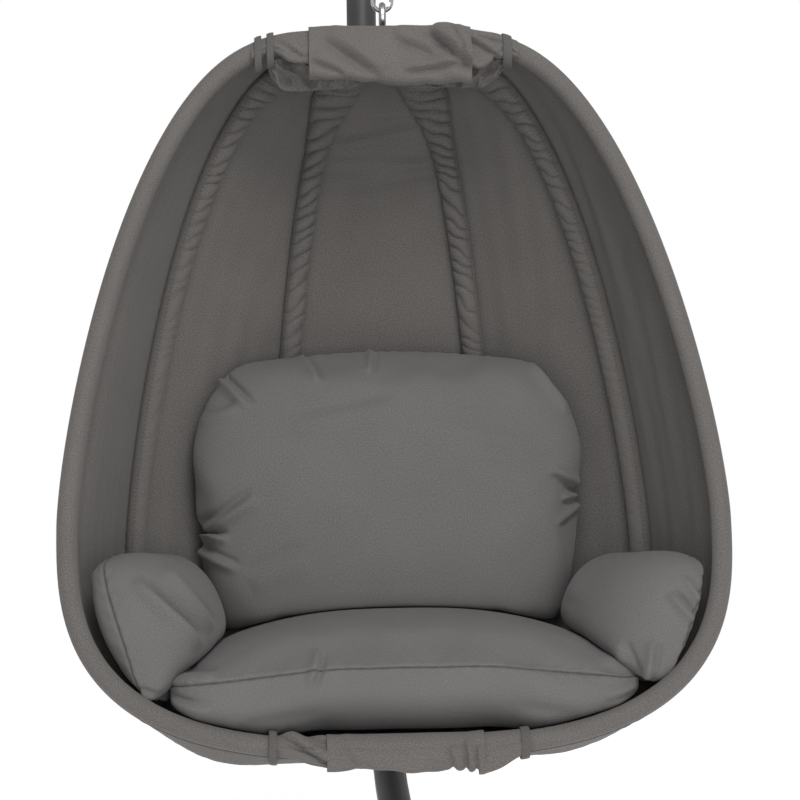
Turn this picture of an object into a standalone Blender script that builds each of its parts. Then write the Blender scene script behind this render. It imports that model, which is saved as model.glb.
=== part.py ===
"""A hanging egg chair on a bent-tube stand: a cloth pod on a steel hoop and four ribs, hung by a chain.

Units are metres and +Z is up. The chair faces -Y. The origin is on the floor, at the middle of the width and the
length that the stand takes up; below, places are counted from the middle of the base hub. The pod has coordinates
of its own, in the plane of its front hoop: x to the side, u down from the top of the hoop and d back from it.
"""

import math

import bmesh
import bpy
import numpy as np
from mathutils import Matrix, Vector
from mathutils.bvhtree import BVHTree

# Stand
STAND_HEIGHT = 1.956
FOOTPRINT = 1.067
HOOK_BEHIND_BASE = 0.200
MAST_BEHIND_HOOK = 0.380
MAST_DIAMETER = 0.050
MAST_WALL = 0.002
LOWER_BEND_RADIUS = 0.600
UPPER_BEND_RADIUS = 0.250
LOWER_MAST_TOP = 1.000
TOP_ARM_HEIGHT = 0.356
SWAGE_LENGTH = 0.060
ARM_OVERHANG = 0.045
HUB_DIAMETER = 0.110
HUB_WALL = 0.006
SOCKET_HEIGHT = 0.152
SOCKET_LENGTH = 0.060
SOCKET_BOLT_INSET = 0.018
LEG_DIAMETER = 0.038
LEG_WALL = 0.0015
LEG_ROOT_HEIGHT = 0.078
FOOT_WALL = 0.005
FOOT_LENGTH = 0.055
CAP_THICKNESS = 0.004
CAP_PLUG = 0.018
BOLT_DIAMETER = 0.008
BOLT_HEAD_DIAMETER = 0.014
BOLT_HEAD_HEIGHT = 0.005
BOLT_LENGTH = 0.016

# Hanger
EYE_BAR = 0.010
EYE_BORE = 0.026
EYE_SHANK = 0.010
EYE_NECK = 0.010
NUT_WIDTH = 0.017
NUT_HEIGHT = 0.008
SHANK_PAST_NUT = 0.004
POD_CLEARANCE = 0.300
LINK_WIRE = 0.006
LINK_BORE_LENGTH = 0.055
LINK_BORE_WIDTH = 0.014
SNAP_LENGTH = 0.075
SNAP_WIDTH = 0.035
SNAP_WIRE = 0.007
GATE_DIAMETER = 0.006
GATE_LENGTH = 0.032
GATE_PIN_DIAMETER = 0.002
GATE_HEEL = 0.0024
GATE_SLOT = 0.003
SLOT_PAST_TONGUE = 0.0012
TONGUE_THICKNESS = 0.0024
TONGUE_WIDTH = 0.0048
TONGUE_PAST_PIN = 0.003

# Pod
CHAIR_YAW = math.radians(-2.9)
HOOP_TILT = math.radians(12.0)
HOOP_WIDTH = 0.928
HOOP_HEIGHT = 1.042
WIDEST_DROP = 0.723
TOP_NARROWING = 0.380
NARROWING_POWER = 1.5
POD_DEPTH = 0.430
DEPTH_NARROWING = 0.45
TOP_ROUND = 4.97
LOWER_ROUND = 2.89
DEPTH_ROUND = 2.3
SIDE_RIB_ANGLE = math.radians(34)
CENTRE_RIB_ANGLE = math.radians(69)
FRAME_TUBE = 0.022
FRAME_WALL = 0.0015
POD_HUB_DIAMETER = 0.084
POD_HUB_HEIGHT = 0.024
POD_HUB_BACK = 0.040
HUB_FADE = 0.210
POD_SPIGOT = 0.036
EYE_RISE = 0.052
SLEEVE_WALL = 0.0017
SLEEVE_SHORT = 0.0012
PANEL_THICKNESS = 0.0018
WRAP_THICKNESS = 0.003
TOP_WRAP_WIDTH = 0.400
TOP_WRAP_DROP = 0.062
BOTTOM_WRAP_WIDTH = 0.350
BOTTOM_WRAP_DROP = 0.025

# Cushions: full width, depth and thickness, how far each middle is in front of the hook and above the bottom of
# the hoop, and the exponents of its rounding
SEAT_SIZE = (0.690, 0.460, 0.165)
SEAT_FORWARD = 0.030
SEAT_RISE = 0.0904
SEAT_CROWN = 1.0
SEAT_UNDERSIDE = 0.6
BACK_SIZE = (0.630, 0.420, 0.190)
BACK_FORWARD = -0.110
BACK_RISE = 0.3504
BACK_LEAN = math.radians(78)
ARM_SIZE = (0.200, 0.340, 0.225)
ARM_ASIDE = 0.350
ARM_FORWARD = 0.105
ARM_RISE = 0.1654
ARM_TURN = math.radians(12)
ARM_TAPER = 0.25
ARM_CORNER = 0.6
ARM_HEART = 0.050
ARM_CROWN = 0.8
SIDE_DRAW = 0.06
CUSHION_GAP = 0.004
CUSHION_LIFT = 0.004
CUSHION_DROP = 0.030
MOST_SQUEEZE = 0.8
EASING_ROUNDS = 3

# Fits and facets
FIT = 0.0003
CLOTH_FIT = 0.0004
MAST_SIDES = 12
HUB_SIDES = 24
FRAME_SIDES = 8
WIRE_SIDES = 8
LINK_SIDES = 6
BEND_STEP = math.radians(11.5)
ROUND_STEPS = 6
WRAP_STEP = math.radians(25)
SHARP_ANGLE = math.radians(40)
OUTLINE_STEPS = 600
POD_ROWS = 15
TURN_LENGTH = 0.3
CUSHION_ROWS = 11
CUSHION_COLUMNS = 24

POWDER_COAT = ((0.055, 0.054, 0.055), 0.45, 0.3)
ZINC = ((0.45, 0.45, 0.46), 0.38, 1.0)
BRIGHT_STEEL = ((0.62, 0.62, 0.63), 0.18, 1.0)
CLOTH = ((0.115, 0.110, 0.106), 0.85, 0.0)
CUSHION_CLOTH = ((0.130, 0.126, 0.124), 0.85, 0.0)
RUBBER = ((0.02, 0.02, 0.02), 0.8, 0.0)
PLASTIC = ((0.04, 0.04, 0.04), 0.55, 0.0)

X_AXIS = np.array([1.0, 0.0, 0.0])
Y_AXIS = np.array([0.0, 1.0, 0.0])
Z_AXIS = np.array([0.0, 0.0, 1.0])

for leftover in list(bpy.data.objects):
    bpy.data.objects.remove(leftover, do_unlink=True)

pivot_places = {}


def pivot(name, place, parent=None, turn=0.0):
    """An empty on a joint's axis; what hangs from it is parented to it."""
    empty = bpy.data.objects.new(name, None)
    bpy.context.collection.objects.link(empty)
    place = np.asarray(place, float)
    pivot_places[name] = place
    empty.parent = parent
    empty.location = place - (pivot_places[parent.name] if parent else 0.0)
    empty.rotation_euler = (0.0, 0.0, turn)
    return empty


def material_for(name, finish):
    colour, roughness, metallic = finish
    material = bpy.data.materials.new(name)
    material.use_nodes = True
    shader = material.node_tree.nodes["Principled BSDF"]
    shader.inputs["Base Color"].default_value = (*colour, 1.0)
    shader.inputs["Roughness"].default_value = roughness
    shader.inputs["Metallic"].default_value = metallic
    return material


def add_solid(name, shape, finish, parent):
    """An object from points and faces given at rest, before the chair is turned, placed on its pivot."""
    points, faces = shape
    mesh = bpy.data.meshes.new(name)
    mesh.from_pydata([tuple(p) for p in np.asarray(points) - pivot_places[parent.name]], [], faces)
    body = bmesh.new()
    body.from_mesh(mesh)
    bmesh.ops.recalc_face_normals(body, faces=body.faces)
    body.to_mesh(mesh)
    body.free()
    mesh.shade_smooth()
    mesh.set_sharp_from_angle(angle=SHARP_ANGLE)
    mesh.materials.append(material_for(name, finish))
    piece = bpy.data.objects.new(name, mesh)
    bpy.context.collection.objects.link(piece)
    piece.parent = parent
    return piece


def add_tool(name, shape, parent):
    """A hidden solid that only joins or cuts others."""
    tool = add_solid(name, shape, PLASTIC, parent)
    tool.hide_render = True
    tool.display_type = "WIRE"
    return tool


def apply_tool(piece, tool, operation):
    modifier = piece.modifiers.new(tool.name, "BOOLEAN")
    modifier.object = tool
    modifier.operation = operation


def joined(shapes):
    """Several shapes as one list of points and faces."""
    points, faces = [], []
    for shape_points, shape_faces in shapes:
        faces += [tuple(i + len(points) for i in face) for face in shape_faces]
        points += list(shape_points)
    return points, faces


def unit(vector):
    return vector / np.linalg.norm(vector)


def directions_along(points, closed):
    """The direction of travel at each point, halfway between its two neighbouring steps."""
    steps = np.diff(np.vstack([points, points[:1]]) if closed else points, axis=0)
    lengths = np.linalg.norm(steps, axis=1)
    for i, length in enumerate(lengths):
        steps[i] = steps[i] / length if length > 0 else steps[i - 1]
    before = np.roll(steps, 1, axis=0) if closed else np.vstack([steps[:1], steps])
    after = steps if closed else np.vstack([steps, steps[-1:]])
    return [unit(direction) for direction in before + after]


def rings_along(points, radii, sides, side_way, closed=False):
    """One ring of points round each point of a path, with a flat towards side_way."""
    points = np.asarray(points, float)
    radii = np.broadcast_to(radii, len(points))
    angles = 2 * np.pi * (np.arange(sides) + 0.5) / sides
    rings = []
    for point, radius, direction in zip(points, radii, directions_along(points, closed)):
        across = unit(side_way - (side_way @ direction) * direction)
        up = np.cross(direction, across)
        rings.append(point + radius * (np.outer(np.cos(angles), across) + np.outer(np.sin(angles), up)))
    return rings


def wall_faces(first, ring_count, sides, closed=False):
    """Quads that join each ring to the next, counted from the point numbered first."""
    faces = []
    for row in range(ring_count if closed else ring_count - 1):
        here = first + row * sides
        there = first + (row + 1) % ring_count * sides
        for i in range(sides):
            j = (i + 1) % sides
            faces.append((here + i, here + j, there + j, there + i))
    return faces


def loft(rings):
    """A closed solid through rings with equal counts, capped at both ends."""
    sides = len(rings[0])
    last = (len(rings) - 1) * sides
    faces = wall_faces(0, len(rings), sides)
    faces += [tuple(reversed(range(sides))), tuple(range(last, last + sides))]
    return np.vstack(rings), faces


def rod(points, radii, sides, side_way, closed=False):
    rings = rings_along(points, radii, sides, side_way, closed)
    if closed:
        return np.vstack(rings), wall_faces(0, len(rings), sides, closed=True)
    return loft(rings)


def tube(points, radii, wall, sides, side_way, bore_points=None, bore_radii=None):
    """A hollow tube. Its bore follows the same path unless it is given one of its own."""
    bore_points = points if bore_points is None else bore_points
    bore_radii = np.asarray(radii) - wall if bore_radii is None else bore_radii
    outside = rings_along(points, radii, sides, side_way)
    inside = rings_along(bore_points, bore_radii, sides, side_way)
    first_inside = len(outside) * sides
    faces = wall_faces(0, len(outside), sides)
    faces += [tuple(reversed(face)) for face in wall_faces(first_inside, len(inside), sides)]
    last_outside = first_inside - sides
    last_inside = first_inside + (len(inside) - 1) * sides
    for outer, inner in ((0, first_inside), (last_outside, last_inside)):
        for i in range(sides):
            j = (i + 1) % sides
            face = (outer + j, outer + i, inner + i, inner + j)
            faces.append(face if outer == 0 else tuple(reversed(face)))
    return np.vstack(outside + inside), faces


def arc(centre, start_way, end_way, radius, start, end, steps):
    """Points on an arc in the plane of two square directions."""
    angles = np.linspace(start, end, steps + 1)
    return [centre + radius * (math.cos(a) * start_way + math.sin(a) * end_way) for a in angles]


def arc_steps(angle):
    return max(2, math.ceil(angle / BEND_STEP))


def oval(centre, wide_way, length_way, width, length):
    """A closed path with straight sides and round ends, measured on its centre line."""
    radius = width / 2
    reach = length / 2 - radius
    top = arc(centre + reach * length_way, wide_way, length_way, radius, 0, math.pi, ROUND_STEPS)
    bottom = arc(centre - reach * length_way, wide_way, length_way, radius, math.pi, 2 * math.pi, ROUND_STEPS)
    return top + bottom


def circle(centre, first_way, second_way, radius):
    return arc(centre, first_way, second_way, radius, 0, 2 * math.pi, 2 * ROUND_STEPS)[:-1]


def add_bolt(name, seat, way, parent, holed):
    """A button-head bolt driven along way, with its hole cut in the pieces it goes through."""
    head = BOLT_HEAD_DIAMETER / 2
    shank = BOLT_DIAMETER / 2
    side_way = X_AXIS if abs(way[0]) < 0.9 else Z_AXIS
    under_head = seat - FIT * way
    path = [under_head - BOLT_HEAD_HEIGHT * way, under_head, under_head, seat + BOLT_LENGTH * way]
    add_solid(name, rod(path, [head, head, shank, shank], WIRE_SIDES, side_way), ZINC, parent)
    hole_path = [seat - BOLT_HEAD_HEIGHT * way, seat + (BOLT_LENGTH + 2 * FIT) * way]
    hole = add_tool(name + "_hole", rod(hole_path, shank + 2 * FIT, WIRE_SIDES, side_way), parent)
    for piece in holed:
        apply_tool(piece, hole, "DIFFERENCE")


def add_nut(name, under, way, finish, parent):
    """A hex nut whose near face is at under and which grows along way."""
    bore = (EYE_SHANK / 2 + FIT) / math.cos(math.pi / 6)
    corner_radius = NUT_WIDTH / 2 / math.cos(math.pi / 6)
    path = [under, under + NUT_HEIGHT * way]
    add_solid(name, tube(path, corner_radius, 0.0, 6, X_AXIS, path, bore), finish, parent)


# Heights of the hanger, from the top of the stand down
mast_radius = MAST_DIAMETER / 2
mast_y = HOOK_BEHIND_BASE + MAST_BEHIND_HOOK
arm_z = STAND_HEIGHT - SHANK_PAST_NUT - NUT_HEIGHT - FIT - mast_radius
hook_line = np.array([0.0, HOOK_BEHIND_BASE, 0.0])
eye_radius = (EYE_BORE + EYE_BAR) / 2
stand_eye_z = arm_z - mast_radius - EYE_NECK - eye_radius
swing_z = stand_eye_z - eye_radius
link_length = LINK_BORE_LENGTH + LINK_WIRE
link_pitch = LINK_BORE_LENGTH - FIT
first_link_top = swing_z + (EYE_BAR + LINK_WIRE) / 2 + FIT
sway_z = first_link_top - link_length
# as many links as leave the bottom of the hoop at least POD_CLEARANCE above the floor
hoop_drop = (EYE_RISE + HOOP_HEIGHT) * math.cos(HOOP_TILT) - POD_HUB_BACK * math.sin(HOOP_TILT)
snap_drop = SNAP_LENGTH - SNAP_WIRE + eye_radius - (LINK_WIRE + EYE_BAR) / 2 - SNAP_WIRE - 2 * FIT
link_count = math.floor((sway_z - snap_drop - hoop_drop - POD_CLEARANCE) / link_pitch) + 1
last_link_bottom = sway_z - (link_count - 1) * link_pitch
snap_top = last_link_bottom + (LINK_WIRE + SNAP_WIRE) / 2 + FIT
hook_z = snap_top - (SNAP_LENGTH - SNAP_WIRE)
chair_eye_z = hook_z + (SNAP_WIRE + EYE_BAR) / 2 + FIT - eye_radius

stand = pivot("stand_origin", (0.0, 0.0, 0.0))
# the mast reaches further back than the feet reach forward, so the hub is a little in front of the middle
stand.location.y = (FOOTPRINT / 2 - mast_y - mast_radius) / 2
swing = pivot("chain_swing_axis", hook_line + swing_z * Z_AXIS, stand)
sway = pivot("chain_sway_axis", hook_line + sway_z * Z_AXIS, swing)
swivel = pivot("snap_swivel_axis", hook_line + snap_top * Z_AXIS, sway, CHAIR_YAW)
chair = pivot("chair_tip_axis", hook_line + hook_z * Z_AXIS, swivel)

# Lower mast: upright behind the pod, then one wide bend that comes forward under it to the base hub
bore_radius = mast_radius - MAST_WALL
swage_radius = bore_radius - FIT
hub_radius = HUB_DIAMETER / 2
straight_run = hub_radius + mast_radius + SOCKET_LENGTH
bend_reach = math.hypot(straight_run, LOWER_BEND_RADIUS)
bend_angle = math.atan2(LOWER_BEND_RADIUS, straight_run) + math.asin((mast_y - LOWER_BEND_RADIUS) / bend_reach)
socket_centre = np.array([0.0, 0.0, SOCKET_HEIGHT])
up_mast = np.array([0.0, math.sin(bend_angle), math.cos(bend_angle)])


def clear_of_post(way, radius):
    """How far along way from the hub's axis a square-cut tube end is clear of the round post."""
    return (hub_radius + radius * abs(way[2])) / math.hypot(way[0], way[1]) + 2 * FIT


mast_start = clear_of_post(up_mast, mast_radius)
bend_end = socket_centre + straight_run * up_mast
bend_centre_z = bend_end[2] + LOWER_BEND_RADIUS * math.sin(bend_angle)
bend_centre = np.array([0.0, mast_y - LOWER_BEND_RADIUS, bend_centre_z])
lower_path = [socket_centre + mast_start * up_mast]
lower_path += arc(bend_centre, Y_AXIS, -Z_AXIS, LOWER_BEND_RADIUS, bend_angle, 0.0, arc_steps(bend_angle))
lower_path += [np.array([0.0, mast_y, LOWER_MAST_TOP])]
mast_lower = add_solid(
    "mast_lower", tube(lower_path, mast_radius, MAST_WALL, MAST_SIDES, X_AXIS), POWDER_COAT, stand
)


def swaged(path):
    """A tube whose first end is drawn in for SWAGE_LENGTH, to slide into the tube before it."""
    way = unit(path[1] - path[0])
    shoulder = path[0] + FIT * way
    tip = path[0] - SWAGE_LENGTH * way
    outside = [tip, shoulder, shoulder, *path[1:]]
    bore_step = shoulder + 2 * MAST_WALL * way
    inside = [tip, bore_step, bore_step, *path[1:]]
    radii = np.full(len(outside), mast_radius)
    radii[:2] = swage_radius
    return tube(outside, radii, MAST_WALL, MAST_SIDES, X_AXIS, inside, radii - MAST_WALL)


# Upper mast and arm, each drawn in at its lower end
joint_low = np.array([0.0, mast_y, LOWER_MAST_TOP])
joint_high = np.array([0.0, mast_y, STAND_HEIGHT - TOP_ARM_HEIGHT])
mast_upper = add_solid("mast_upper", swaged([joint_low, joint_high]), POWDER_COAT, stand)
arm_bend = np.array([0.0, mast_y - UPPER_BEND_RADIUS, arm_z - UPPER_BEND_RADIUS])
arm_end = np.array([0.0, HOOK_BEHIND_BASE - ARM_OVERHANG, arm_z])
arm_path = [joint_high]
arm_path += arc(arm_bend, Y_AXIS, Z_AXIS, UPPER_BEND_RADIUS, 0.0, math.pi / 2, arc_steps(math.pi / 2))
arm_path += [arm_end]
top_arm = add_solid("top_arm", swaged(arm_path), POWDER_COAT, stand)
bolt_seat = np.array([mast_radius, 0.0, -SWAGE_LENGTH / 2])
add_bolt("mast_bolt_low", joint_low + bolt_seat, -X_AXIS, stand, [mast_lower, mast_upper])
add_bolt("mast_bolt_high", joint_high + bolt_seat, -X_AXIS, stand, [mast_upper, top_arm])

# Plug in the open end of the arm
cap_path = [
    arm_end + CAP_PLUG * Y_AXIS,
    arm_end - FIT * Y_AXIS,
    arm_end - FIT * Y_AXIS,
    arm_end - CAP_THICKNESS * Y_AXIS,
]
cap_radii = [swage_radius, swage_radius, mast_radius, mast_radius - FIT]
add_solid("arm_end_cap", rod(cap_path, cap_radii, MAST_SIDES, X_AXIS), PLASTIC, stand)

# Base hub: a post with a socket spigot for the mast and one for each leg
foot_radius = LEG_DIAMETER / 2 + FIT + FOOT_WALL
leg_radius = LEG_DIAMETER / 2
leg_bore = leg_radius - LEG_WALL
foot_end = (FOOTPRINT / 2 - foot_radius / math.sqrt(2)) * math.sqrt(2)
foot_drop = leg_radius + FIT + FOOT_WALL / 2
leg_fall = math.atan2(LEG_ROOT_HEIGHT - foot_drop, foot_end)
leg_root = np.array([0.0, 0.0, LEG_ROOT_HEIGHT])
leg_ways = {}
for place, turn in (("front_right", -45), ("back_right", 45), ("back_left", 135), ("front_left", 225)):
    heading = math.radians(turn)
    flat_way = np.array([math.cos(heading), math.sin(heading), 0.0])
    leg_ways[place] = math.cos(leg_fall) * flat_way - math.sin(leg_fall) * Z_AXIS
post_bottom = LEG_ROOT_HEIGHT - leg_radius - HUB_WALL
post_top = SOCKET_HEIGHT + mast_radius + HUB_WALL
post_path = [post_bottom * Z_AXIS, post_top * Z_AXIS]
base_hub = add_solid("base_hub", rod(post_path, hub_radius, HUB_SIDES, X_AXIS), POWDER_COAT, stand)
mast_spigot = [socket_centre, socket_centre + (hub_radius + SOCKET_LENGTH) * up_mast]
spigot_shapes = [rod(mast_spigot, swage_radius, MAST_SIDES, X_AXIS)]
for way in leg_ways.values():
    path = [leg_root + (hub_radius - 2 * HUB_WALL) * way, leg_root + (hub_radius + SOCKET_LENGTH) * way]
    spigot_shapes.append(rod(path, leg_bore - FIT, MAST_SIDES, Z_AXIS))
apply_tool(base_hub, add_tool("base_hub_spigots", joined(spigot_shapes), stand), "UNION")
cavity_path = [(post_bottom - HUB_WALL) * Z_AXIS, (post_top - HUB_WALL) * Z_AXIS]
cavity = rod(cavity_path, hub_radius - HUB_WALL, HUB_SIDES, X_AXIS)
apply_tool(base_hub, add_tool("base_hub_cavity", cavity, stand), "DIFFERENCE")
bolt_reach = hub_radius + SOCKET_LENGTH - SOCKET_BOLT_INSET
socket_bolt = socket_centre + bolt_reach * up_mast + mast_radius * X_AXIS
add_bolt("mast_bolt_base", socket_bolt, -X_AXIS, stand, [mast_lower, base_hub])

# Legs and their rubber feet, which are cut flat on the floor
for place, way in leg_ways.items():
    leg_start = clear_of_post(way, leg_radius)
    leg_path = [leg_root + leg_start * way, leg_root + (foot_end - FOOT_WALL) * way]
    leg_tube = tube(leg_path, leg_radius, LEG_WALL, MAST_SIDES, Z_AXIS)
    leg = add_solid(f"leg_{place}", leg_tube, POWDER_COAT, stand)
    above = unit(Z_AXIS - (Z_AXIS @ way) * way)
    seat = leg_root + (hub_radius + SOCKET_LENGTH / 2) * way + leg_radius * above
    add_bolt(f"leg_bolt_{place}", seat, -above, stand, [leg, base_hub])
    foot_tip = leg_root + foot_end * way
    foot_path = [foot_tip - FOOT_LENGTH * way, foot_tip]
    foot = add_solid(f"foot_{place}", rod(foot_path, foot_radius, MAST_SIDES, Z_AXIS), RUBBER, stand)
    pocket_path = [foot_tip - 2 * FOOT_LENGTH * way, foot_tip - (FOOT_WALL - FIT) * way]
    pocket = rod(pocket_path, leg_radius + FIT, MAST_SIDES, Z_AXIS)
    apply_tool(foot, add_tool(f"foot_{place}_pocket", pocket, stand), "DIFFERENCE")
    floor_path = [np.array([*foot_tip[:2], -2 * foot_radius]), np.array([*foot_tip[:2], 0.0])]
    floor_block = rod(floor_path, 2 * FOOT_LENGTH, 4, X_AXIS)
    apply_tool(foot, add_tool(f"foot_{place}_floor", floor_block, stand), "DIFFERENCE")


def eye_bolt(ring_centre, ring_way, shank_way, shank_length):
    """Two overlapping shapes: a ring in the plane of ring_way and Z, and its threaded shank."""
    ring = rod(circle(ring_centre, ring_way, Z_AXIS, eye_radius), EYE_BAR / 2, WIRE_SIDES,
               np.cross(ring_way, Z_AXIS), closed=True)
    shank_path = [ring_centre + eye_radius * shank_way, ring_centre + shank_length * shank_way]
    return ring, rod(shank_path, EYE_SHANK / 2, WIRE_SIDES, X_AXIS)


# Eye bolt of the stand, through the arm, with its nut on top; the last link stands across the snap hook
link_ways = [X_AXIS if (link_count - number) % 2 else Y_AXIS for number in range(link_count + 1)]
stand_eye_centre = hook_line + stand_eye_z * Z_AXIS
ring, shank = eye_bolt(stand_eye_centre, link_ways[0], Z_AXIS, STAND_HEIGHT - stand_eye_z)
stand_eye = add_solid("stand_eye", ring, ZINC, stand)
apply_tool(stand_eye, add_tool("stand_eye_shank", shank, stand), "UNION")
arm_hole_path = [stand_eye_centre + eye_radius * Z_AXIS, hook_line + 2 * STAND_HEIGHT * Z_AXIS]
arm_hole = add_tool("arm_hole", rod(arm_hole_path, EYE_SHANK / 2 + FIT, WIRE_SIDES, X_AXIS), stand)
apply_tool(top_arm, arm_hole, "DIFFERENCE")
add_nut("stand_eye_nut", hook_line + (arm_z + mast_radius + FIT) * Z_AXIS, Z_AXIS, ZINC, stand)

# Chain: the links stand across each other in turn
for number in range(link_count):
    middle = hook_line + (first_link_top - number * link_pitch - link_length / 2) * Z_AXIS
    wide_way = link_ways[number + 1]
    path = oval(middle, wide_way, Z_AXIS, LINK_BORE_WIDTH + LINK_WIRE, link_length)
    link = rod(path, LINK_WIRE / 2, LINK_SIDES, np.cross(wide_way, Z_AXIS), closed=True)
    add_solid(f"chain_link_{number + 1}", link, ZINC, sway if number else swing)

# Snap hook: a bent wire open on its right side, a gate that closes the gap, and the gate's pin
snap_radius = (SNAP_WIDTH - SNAP_WIRE) / 2
snap_middle = hook_line + (snap_top + hook_z) / 2 * Z_AXIS
snap_reach = (SNAP_LENGTH - SNAP_WIRE) / 2 - snap_radius
gap_half = GATE_LENGTH / 2 + 2 * FIT
gate_side = snap_middle + snap_radius * X_AXIS
snap_path = [gate_side + gap_half * Z_AXIS]
snap_path += arc(snap_middle + snap_reach * Z_AXIS, X_AXIS, Z_AXIS, snap_radius, 0, math.pi, 2 * ROUND_STEPS)
snap_path += arc(
    snap_middle - snap_reach * Z_AXIS, X_AXIS, Z_AXIS, snap_radius, math.pi, 2 * math.pi, 2 * ROUND_STEPS
)
snap_path += [gate_side - gap_half * Z_AXIS]
snap_hook = add_solid("snap_hook", rod(snap_path, SNAP_WIRE / 2, WIRE_SIDES, Y_AXIS), BRIGHT_STEEL, swivel)
pin_rise = GATE_DIAMETER / 2 + GATE_PIN_DIAMETER / 2
pin_place = gate_side - (gap_half - pin_rise) * Z_AXIS
tongue_half = np.array([TONGUE_WIDTH / 2, TONGUE_THICKNESS / 2, 0.0])
tongue_rings = []
for height in (-gap_half - SNAP_WIRE / 2, -gap_half + pin_rise + TONGUE_PAST_PIN):
    corners = [np.array([a, b, 0.0]) * tongue_half for a, b in ((-1, -1), (1, -1), (1, 1), (-1, 1))]
    tongue_rings.append(np.array([gate_side + corner + height * Z_AXIS for corner in corners]))
apply_tool(snap_hook, add_tool("snap_tongue", loft(tongue_rings), swivel), "UNION")
pin_path = [pin_place - GATE_DIAMETER / 2 * Y_AXIS, pin_place + GATE_DIAMETER / 2 * Y_AXIS]
add_solid("gate_pin", rod(pin_path, GATE_PIN_DIAMETER / 2, WIRE_SIDES, Z_AXIS), ZINC, swivel)
pin_hole_path = [pin_place - GATE_DIAMETER * Y_AXIS, pin_place + GATE_DIAMETER * Y_AXIS]
pin_hole_shape = rod(pin_hole_path, GATE_PIN_DIAMETER / 2 + FIT / 2, WIRE_SIDES, Z_AXIS)
apply_tool(snap_hook, add_tool("tongue_pin_hole", pin_hole_shape, swivel), "DIFFERENCE")
gate_pivot = pivot("gate_axis", pin_place, swivel)
gate_foot = gap_half - pin_rise + GATE_HEEL
gate_path = [gate_side - gate_foot * Z_AXIS, gate_side + GATE_LENGTH / 2 * Z_AXIS]
gate = add_solid("snap_gate", rod(gate_path, GATE_DIAMETER / 2, WIRE_SIDES, Y_AXIS), BRIGHT_STEEL, gate_pivot)
slot_rings = []
slot_top = -gap_half + pin_rise + TONGUE_PAST_PIN + SLOT_PAST_TONGUE
for height in (-gap_half - GATE_DIAMETER, slot_top):
    corners = [(-GATE_DIAMETER, -GATE_SLOT / 2), (GATE_DIAMETER, -GATE_SLOT / 2),
               (GATE_DIAMETER, GATE_SLOT / 2), (-GATE_DIAMETER, GATE_SLOT / 2)]
    slot_rings.append(np.array([gate_side + np.array([a, b, height]) for a, b in corners]))
apply_tool(gate, add_tool("gate_slot", loft(slot_rings), gate_pivot), "DIFFERENCE")
apply_tool(gate, add_tool("gate_pin_hole", pin_hole_shape, gate_pivot), "DIFFERENCE")

# The pod's own coordinates: the eye bolt stands square on the top hub and the snap hook holds its ring
down = np.array([0.0, -math.sin(HOOP_TILT), -math.cos(HOOP_TILT)])
back = np.array([0.0, math.cos(HOOP_TILT), -math.sin(HOOP_TILT)])
chair_eye = hook_line + chair_eye_z * Z_AXIS
hoop_top = chair_eye + EYE_RISE * down - POD_HUB_BACK * back


def pod_point(x, u, d):
    return hoop_top + x * X_AXIS + u * down + d * back


def egg_radius(u, widest, narrowing, lower_round):
    """Half width of an egg outline at u below its top: flat-topped and tapering above, rounder below."""
    if u < WIDEST_DROP:
        above = (WIDEST_DROP - u) / WIDEST_DROP
        return widest * (1 - narrowing * above**NARROWING_POWER) * (1 - above**TOP_ROUND) ** (1 / TOP_ROUND)
    below = min(1.0, (u - WIDEST_DROP) / (HOOP_HEIGHT - WIDEST_DROP))
    return widest * (1 - below**lower_round) ** (1 / lower_round)


def resampled(points, count):
    """The path through points again, with count steps along it, which are shorter where it turns."""
    steps = np.diff(points, axis=0)
    lengths = np.linalg.norm(steps, axis=1)
    ways = steps / lengths[:, None]
    turns = np.concatenate([[0.0], np.linalg.norm(np.diff(ways, axis=0), axis=1)])
    travel = np.concatenate([[0.0], np.cumsum(lengths + TURN_LENGTH * turns)])
    marks = np.linspace(0.0, travel[-1], count + 1)
    return np.column_stack([np.interp(marks, travel, points[:, axis]) for axis in range(3)])


frame_radius = FRAME_TUBE / 2
frame_bore = frame_radius - FRAME_WALL
sleeve_bore = frame_radius + FIT
sleeve_radius = sleeve_bore + SLEEVE_WALL
pod_hub_radius = POD_HUB_DIAMETER / 2
rib_start = pod_hub_radius + 2 * FIT
hoop_start = math.sqrt(pod_hub_radius**2 - (POD_HUB_BACK - sleeve_radius) ** 2) + 2 * FIT
straight_end = pod_hub_radius + POD_SPIGOT + frame_radius


def bar_route(angle, hub_back, start):
    """One frame tube from the top hub to the bottom hub in (x, u, d), straight where it leaves each hub."""
    fine = []
    for u in HOOP_HEIGHT * (1 - np.cos(np.linspace(0.0, np.pi, OUTLINE_STEPS))) / 2:
        x = egg_radius(u, HOOP_WIDTH / 2, TOP_NARROWING, LOWER_ROUND) * math.cos(angle)
        d = egg_radius(u, POD_DEPTH, DEPTH_NARROWING, DEPTH_ROUND) * math.sin(angle)
        # the hubs sit behind the hoop's plane, and the ribs ease back to the egg within HUB_FADE
        fade = 1 / (1 + (math.hypot(x, d) / HUB_FADE) ** 4)
        if math.hypot(x, d) > straight_end + FRAME_TUBE:
            fine.append((x, u, d + hub_back * fade))
    middle = resampled(np.array(fine), POD_ROWS)
    ends = []
    for first, u in ((middle[0], 0.0), (middle[-1], HOOP_HEIGHT)):
        way = unit(np.array([first[0], first[2] - hub_back]))
        ends.append([(way[0] * r, u, hub_back + way[1] * r) for r in (start, straight_end)])
    return np.vstack([ends[0], middle, ends[1][::-1]])


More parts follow.
